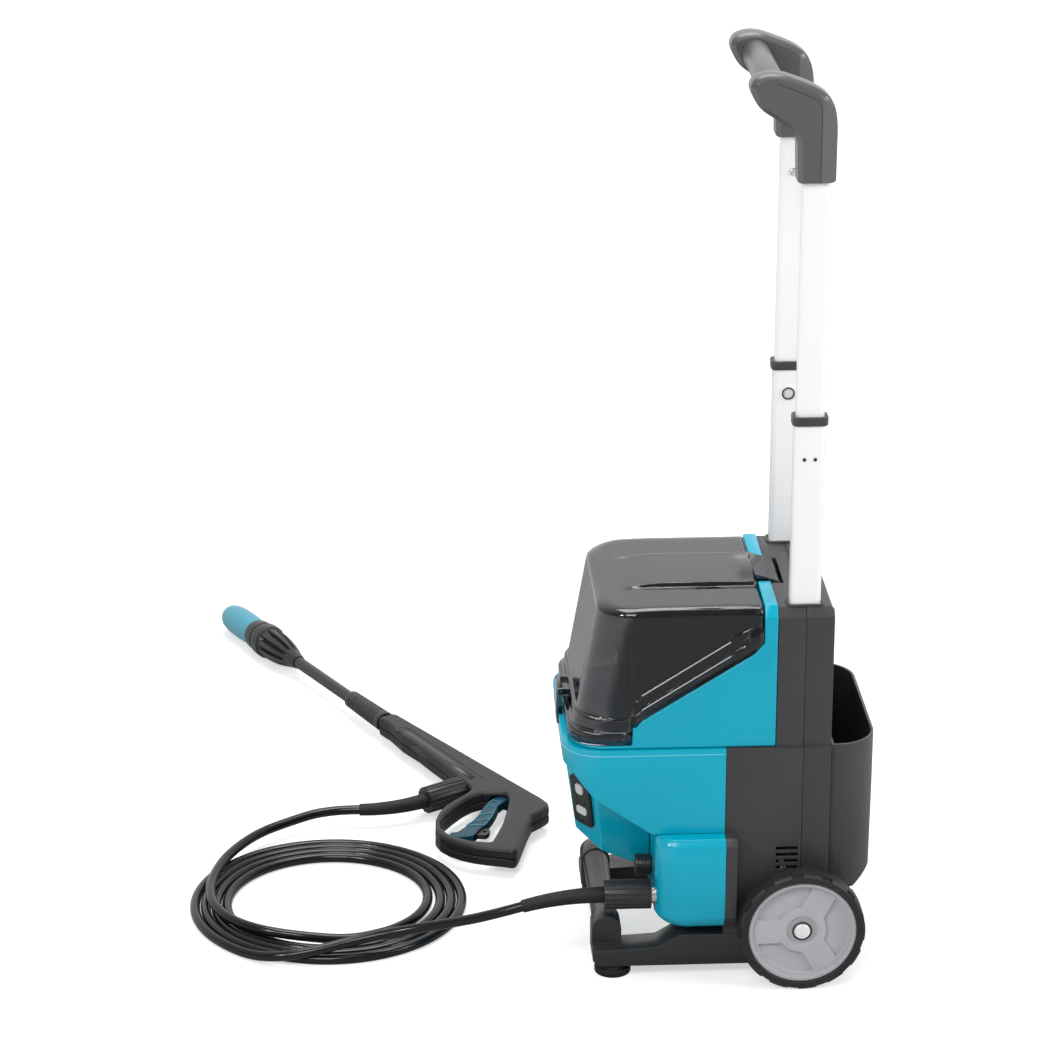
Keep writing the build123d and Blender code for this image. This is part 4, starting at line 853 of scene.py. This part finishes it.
# The water tube's rib: its two ends on the barrel, its height there, then distances along it and radii.
RIB_NEAR, RIB_FAR, RIB_LIFT = (-50.0, 13.0), (-232.0, 27.5), 5.0
rib_start, rib_end = by_gun(*RIB_NEAR, RIB_LIFT), by_gun(*RIB_FAR, RIB_LIFT)
rib_run = rib_end - rib_start
rib_line = [(0, 2.8), (3, 5.6), (7, 7.3), (16, 8.8), (28, 9.4), (120, 9.4), (rib_run.length, 9.4)]
rib_form = spun(rib_start, rib_run.normalized(), rib_line, 40, no_flutes)
new_piece("gun_tube_rib", rib_form, black_nylon, "machine")
FLUTES = 10
FLUTE_DEPTH = 6.0
FLUTE_START, FLUTE_RISE = 258.0, 22.0
FLUTE_END, FLUTE_FALL = 322.0, 8.0
FLUTE_BREADTH = 0.6
LANCE_ASIDE = 2.0
lance_start, lance_way = by_gun(0, LANCE_ASIDE), Vector((cos(LANCE_TURN), sin(LANCE_TURN), 0))


def body_flutes(far, turn):
    """Depth of the hand grooves round the nozzle's body: deep at its middle, none at its ends."""
    along = eased((far - FLUTE_START) / FLUTE_RISE) * (1 - eased((far - FLUTE_END) / FLUTE_FALL))
    groove = max(0.0, cos(turn * FLUTES)) ** FLUTE_BREADTH
    return FLUTE_DEPTH * along * groove


# Distances along the lance and radii of the nozzle's body, with steps filled in between them.
FILL_STEP = 2.5
body_line = [
    (246, 9.4), (250, 10.2), (258, 11.6), (266, 13.8), (274, 15.8), (282, 17.5), (290, 18.9), (298, 19.9),
    (306, 20.6), (314, 21.0), (322, 21.2), (326, 21.3), (329.5, 21.3), (330, 23.0), (331, 23.4),
    (338, 23.5), (346, 23.3), (347.5, 22.6), (348, 21.4), (352, 20.8), (352.8, 20.6), (353, 21.6),
    (362, 21.3), (366, 20.9), (367, 19.4), (372, 18.6), (373.5, 18.2),
]
fine_line = []
for (far, radius), (next_far, next_radius) in zip(body_line, body_line[1:]):
    parts = max(1, round((next_far - far) / FILL_STEP))
    for i in range(parts):
        fine_line.append((far + (next_far - far) * i / parts, radius + (next_radius - radius) * i / parts))
body_form = spun(lance_start, lance_way, fine_line + body_line[-1:], 160, body_flutes)
nozzle_grip = new_piece("nozzle_grip", body_form, black_nylon, "machine")
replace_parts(nozzle_grip, "nozzle_body")
keep_creases(nozzle_grip, 40)
# The twist head is a paler, harder nylon in the same hue; its end turns in to the jet's opening.
head_line = [
    (374, 17.6), (375.5, 18.6), (380, 19.2), (390, 19.9), (400, 20.2), (412, 20.2), (424, 19.9), (434, 19.2),
    (442, 17.8), (448, 15.9), (452.5, 13.4), (455.5, 10.4), (457.2, 7.6), (458, 5.4), (457.2, 4.4),
    (450, 4.2),
]
head_nylon = moulded_plastic("pale_teal_nylon", "589fb3", "5098ad", 0.36, 1.2, 0.02, 0.8)
head_form = spun(lance_start, lance_way, head_line, 64, no_flutes)
nozzle_cap = new_piece("nozzle_cap", head_form, head_nylon, "nozzle_head")
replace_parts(nozzle_cap, "nozzle_head")

# Hose ends
# Ribbed nylon nuts that turn on bent rubber sleeves. The sleeves are pressed over the hose and keep it from
# kinking.
rolled(black_nylon, 0.7, "machine_nut", "gun_nut")
dress(black_rubber, "machine_sleeve", "gun_sleeve")

# Hose
# One length of 12 mm braided PVC hose with a smooth black cover. It leaves the outlet's sleeve, lies in
# four loose turns on the floor and climbs over them to the gun's sleeve.
HOSE_DIA = 12.0
COIL_STEPS, FIRST_STEPS = 12, 8
COIL_IN = 290.0
COIL_OUT = 225.0
COIL_FIRST = 108.0
COIL_INNER, COIL_PITCH, COIL_TURNS = 116.0, 12.7, 4
coil_middle = Vector((-534.0, 80.0, HOSE_DIA / 2))


def beside_coil(angle, radius, z):
    """Point in millimetres at an angle and a distance from the middle of the coil."""
    turn = radians(angle)
    return (coil_middle.x + radius * cos(turn), coil_middle.y + radius * sin(turn), z)


def arc_points(middle, radius, start, sweep, steps):
    """Control points whose smooth curve is the arc: one on each step, where the step's tangents meet."""
    step = radians(sweep) / steps
    reach = radius / cos(step / 2)
    turns = [radians(start) + step * (i + 0.5) for i in range(steps)]
    return [(middle.x + reach * cos(t), middle.y + reach * sin(t), middle.z) for t in turns]


machine_run = [
    (-316, -113, 88), (-358.8, -106.2, 72.5), (-404, -83, 53), (-453, -68, 38), (-503, -67, 28),
    (-551, -76, 19.4), (-596, -79, 13), (-632.2, -57.8, 6),
]
gun_run = [
    (-517.7, -25.4, 6), beside_coil(252, 118, 15.5), beside_coil(231, 132, 19.3), beside_coil(211, 141, 19),
    beside_coil(192, 146, 19), beside_coil(174, 149, 19), beside_coil(157, 154, 19),
    beside_coil(140, 166, 19.5), (-628, 240, 20.5), (-588, 270, 22), (-541.9, 299.1, 23.1), (-500, 296, 24),
]
out_way = Vector((cos(radians(COIL_OUT)), sin(radians(COIL_OUT)), 0))
coil_ends = []
for half in range(2 * COIL_TURNS):
    if half % 2 == 0:
        coil_ends.append(-COIL_INNER - COIL_PITCH * half / 2)
    else:
        coil_ends.append(COIL_INNER + COIL_PITCH * (half + 1) / 2)
coil_run = arc_points(coil_middle + out_way * (coil_ends[0] + COIL_FIRST), COIL_FIRST,
                      COIL_IN, COIL_OUT + 180 - COIL_IN, FIRST_STEPS)
for half, (here, there) in enumerate(zip(coil_ends, coil_ends[1:])):
    start = COIL_OUT + 180 if half % 2 == 0 else COIL_OUT
    middle = coil_middle + out_way * (here + there) / 2
    coil_run += arc_points(middle, abs(there - here) / 2, start, 180, COIL_STEPS)
hose_route = machine_run + coil_run[::-1] + gun_run
hose_line = bpy.data.curves.new("hose", "CURVE")
hose_line.dimensions = "3D"
hose_line.bevel_depth = HOSE_DIA / 2 * MM
hose_line.bevel_resolution = 8
hose_line.resolution_u = 6
hose_line.use_fill_caps = True
strand = hose_line.splines.new("NURBS")
strand.points.add(len(hose_route) - 1)
for point, place in zip(strand.points, hose_route):
    point.co = (*in_frame(*place), 1.0)
strand.order_u = 3
strand.use_endpoint_u = True
hose = bpy.data.objects.new("hose", hose_line)
bpy.context.collection.objects.link(hose)
# The cover is smooth from the die, so a thin bright line runs along each turn.
hose_pvc = moulded_plastic("hose_cover_pvc", "121213", "0e0e0f", 0.18, 2.5, 0.02, 0.5, 0.42)
hose_line.materials.append(hose_pvc)
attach(hose, "machine")
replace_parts(hose, "hose_coil", "hose_gun_lead", "hose_machine_lead")

# Studio
# A pale floor under soft light from above, from the front and from both sides, as in a product studio.
# The floor and the sky show white to the camera and through the lid, but light the pieces at a plain level.
floor_mesh = bpy.data.meshes.new("studio_floor")
FLOOR_HALF = 12.0
corners = [(x * FLOOR_HALF, y * FLOOR_HALF, 0) for x, y in SQUARE]
floor_mesh.from_pydata(corners, [], [(0, 1, 2, 3)])
studio_floor = bpy.data.objects.new("studio_floor", floor_mesh)
bpy.context.collection.objects.link(studio_floor)


def seen_rays(tree):
    """Light path node, and 1 for rays that see a surface straight, mirrored or through the lid."""
    rays = add_node(tree, "ShaderNodeLightPath", {}, {})
    seen = add_node(tree, "ShaderNodeMath", {"operation": "MAXIMUM"},
                    {0: rays.outputs["Is Camera Ray"], 1: rays.outputs["Is Glossy Ray"]})
    seen = add_node(tree, "ShaderNodeMath", {"operation": "MAXIMUM"},
                    {0: seen.outputs[0], 1: rays.outputs["Is Transmission Ray"]})
    return rays, seen


floor_paper, tree, output = new_material("floor_paper")
rays, seen = seen_rays(tree)
shade = add_node(tree, "ShaderNodeMix",
                 {"data_type": "RGBA", 6: (0.62, 0.62, 0.62, 1), 7: (0.3, 0.3, 0.3, 1)},
                 {0: rays.outputs["Is Glossy Ray"]})
paper = add_node(tree, "ShaderNodeBsdfDiffuse", {}, {"Color": shade.outputs[2]})
spot = add_node(tree, "ShaderNodeNewGeometry", {}, {})
away = add_node(tree, "ShaderNodeVectorMath", {"operation": "LENGTH"}, {0: spot.outputs["Position"]})
far = add_node(tree, "ShaderNodeMapRange", {"From Min": 0.8, "From Max": 2.6, "To Min": 0.55, "To Max": 1.0},
               {"Value": away.outputs["Value"]})
# Reflections find a dark strip of floor before the machine and pale paper to both sides of it.
STRIP_MIDDLE = 0.2
place = add_node(tree, "ShaderNodeSeparateXYZ", {}, {0: spot.outputs["Position"]})
aside = add_node(tree, "ShaderNodeMath", {"operation": "SUBTRACT", 1: STRIP_MIDDLE}, {0: place.outputs["X"]})
beside = add_node(tree, "ShaderNodeMath", {"operation": "ABSOLUTE"}, {0: aside.outputs[0]})
strip = add_node(tree, "ShaderNodeMapRange",
                 {"From Min": 0.35, "From Max": 1.0, "To Min": 0.1, "To Max": 1.0},
                 {"Value": beside.outputs[0]})
dimmed = add_node(tree, "ShaderNodeMix", {2: 1.0}, {0: rays.outputs["Is Glossy Ray"], 3: strip.outputs[0]})
shown = add_node(tree, "ShaderNodeMath", {"operation": "MULTIPLY"},
                 {0: seen.outputs[0], 1: dimmed.outputs[0]})
lift = add_node(tree, "ShaderNodeMath", {"operation": "MULTIPLY"}, {0: shown.outputs[0], 1: far.outputs[0]})
glow = add_node(tree, "ShaderNodeEmission", {"Color": (1, 1, 1, 1)}, {"Strength": lift.outputs[0]})
both = add_node(tree, "ShaderNodeAddShader", {}, {0: paper.outputs[0], 1: glow.outputs[0]})
tree.links.new(both.outputs[0], output.inputs["Surface"])
floor_mesh.materials.append(floor_paper)

sky = bpy.data.worlds.new("studio_sky")
bpy.context.scene.world = sky
sky.use_nodes = True
tree = sky.node_tree
tree.nodes.clear()
rays, seen = seen_rays(tree)
way = add_node(tree, "ShaderNodeTexCoord", {}, {})
across = add_node(tree, "ShaderNodeSeparateXYZ", {}, {0: way.outputs["Generated"]})
# In reflections the sky is dim before the machine and bright behind it.
wall_shade = add_node(tree, "ShaderNodeMapRange",
                      {"From Min": -0.3, "From Max": 0.9, "To Min": 0.3, "To Max": 1.1},
                      {"Value": across.outputs["Y"]})
mirror = add_node(tree, "ShaderNodeMix", {2: 1.0},
                  {0: rays.outputs["Is Glossy Ray"], 3: wall_shade.outputs[0]})
level = add_node(tree, "ShaderNodeMix", {2: 0.36}, {0: seen.outputs[0], 3: mirror.outputs[0]})
air = add_node(tree, "ShaderNodeBackground", {"Color": (1, 1, 1, 1)}, {"Strength": level.outputs[0]})
output = add_node(tree, "ShaderNodeOutputWorld", {}, {"Surface": air.outputs[0]})

# Each lamp's place, size in metres and power in watts; all point at the middle of the set.
lamps = {
    "front_softbox": ((-0.7, -2.9, 2.5), 1.4, 40.0),
    "left_softbox": ((-1.9, -2.4, 2.2), 0.6, 28.0),
    "overhead_softbox": ((0.1, 0.3, 3.2), 2.0, 78.0),
    "right_softbox": ((2.4, -1.4, 1.6), 1.2, 32.0),
}
subject = Vector((0.1, -0.2, 0.35))
for name, (place, size, power) in lamps.items():
    lamp = bpy.data.lights.new(name, "AREA")
    lamp.size = size
    lamp.energy = power
    softbox = bpy.data.objects.new(name, lamp)
    softbox.location = place
    softbox.rotation_euler = (subject - Vector(place)).to_track_quat("-Z", "Y").to_euler()
    bpy.context.collection.objects.link(softbox)

# Camera
# A long lens from the machine's outlet side, a little above it: turn and rise in degrees, distance in metres.
# It looks straight at its target, with no shift.
CAMERA_TURN, CAMERA_RISE, CAMERA_AWAY = 3.037, 20.509, 4.5
camera_target = Vector((0.0219, 0.0, 0.3564))
turn, rise = radians(CAMERA_TURN), radians(CAMERA_RISE)
look = Vector((sin(turn) * cos(rise), cos(turn) * cos(rise), -sin(rise)))
lens = bpy.data.cameras.new("camera")
lens.lens = 122.2
lens.sensor_width = 36.0
lens.clip_end = 50.0
camera = bpy.data.objects.new("camera", lens)
camera.location = camera_target - look * CAMERA_AWAY
camera.rotation_euler = look.to_track_quat("-Z", "Y").to_euler()
bpy.context.collection.objects.link(camera)
bpy.context.scene.camera = camera
bpy.context.scene.view_settings.view_transform = "Standard"
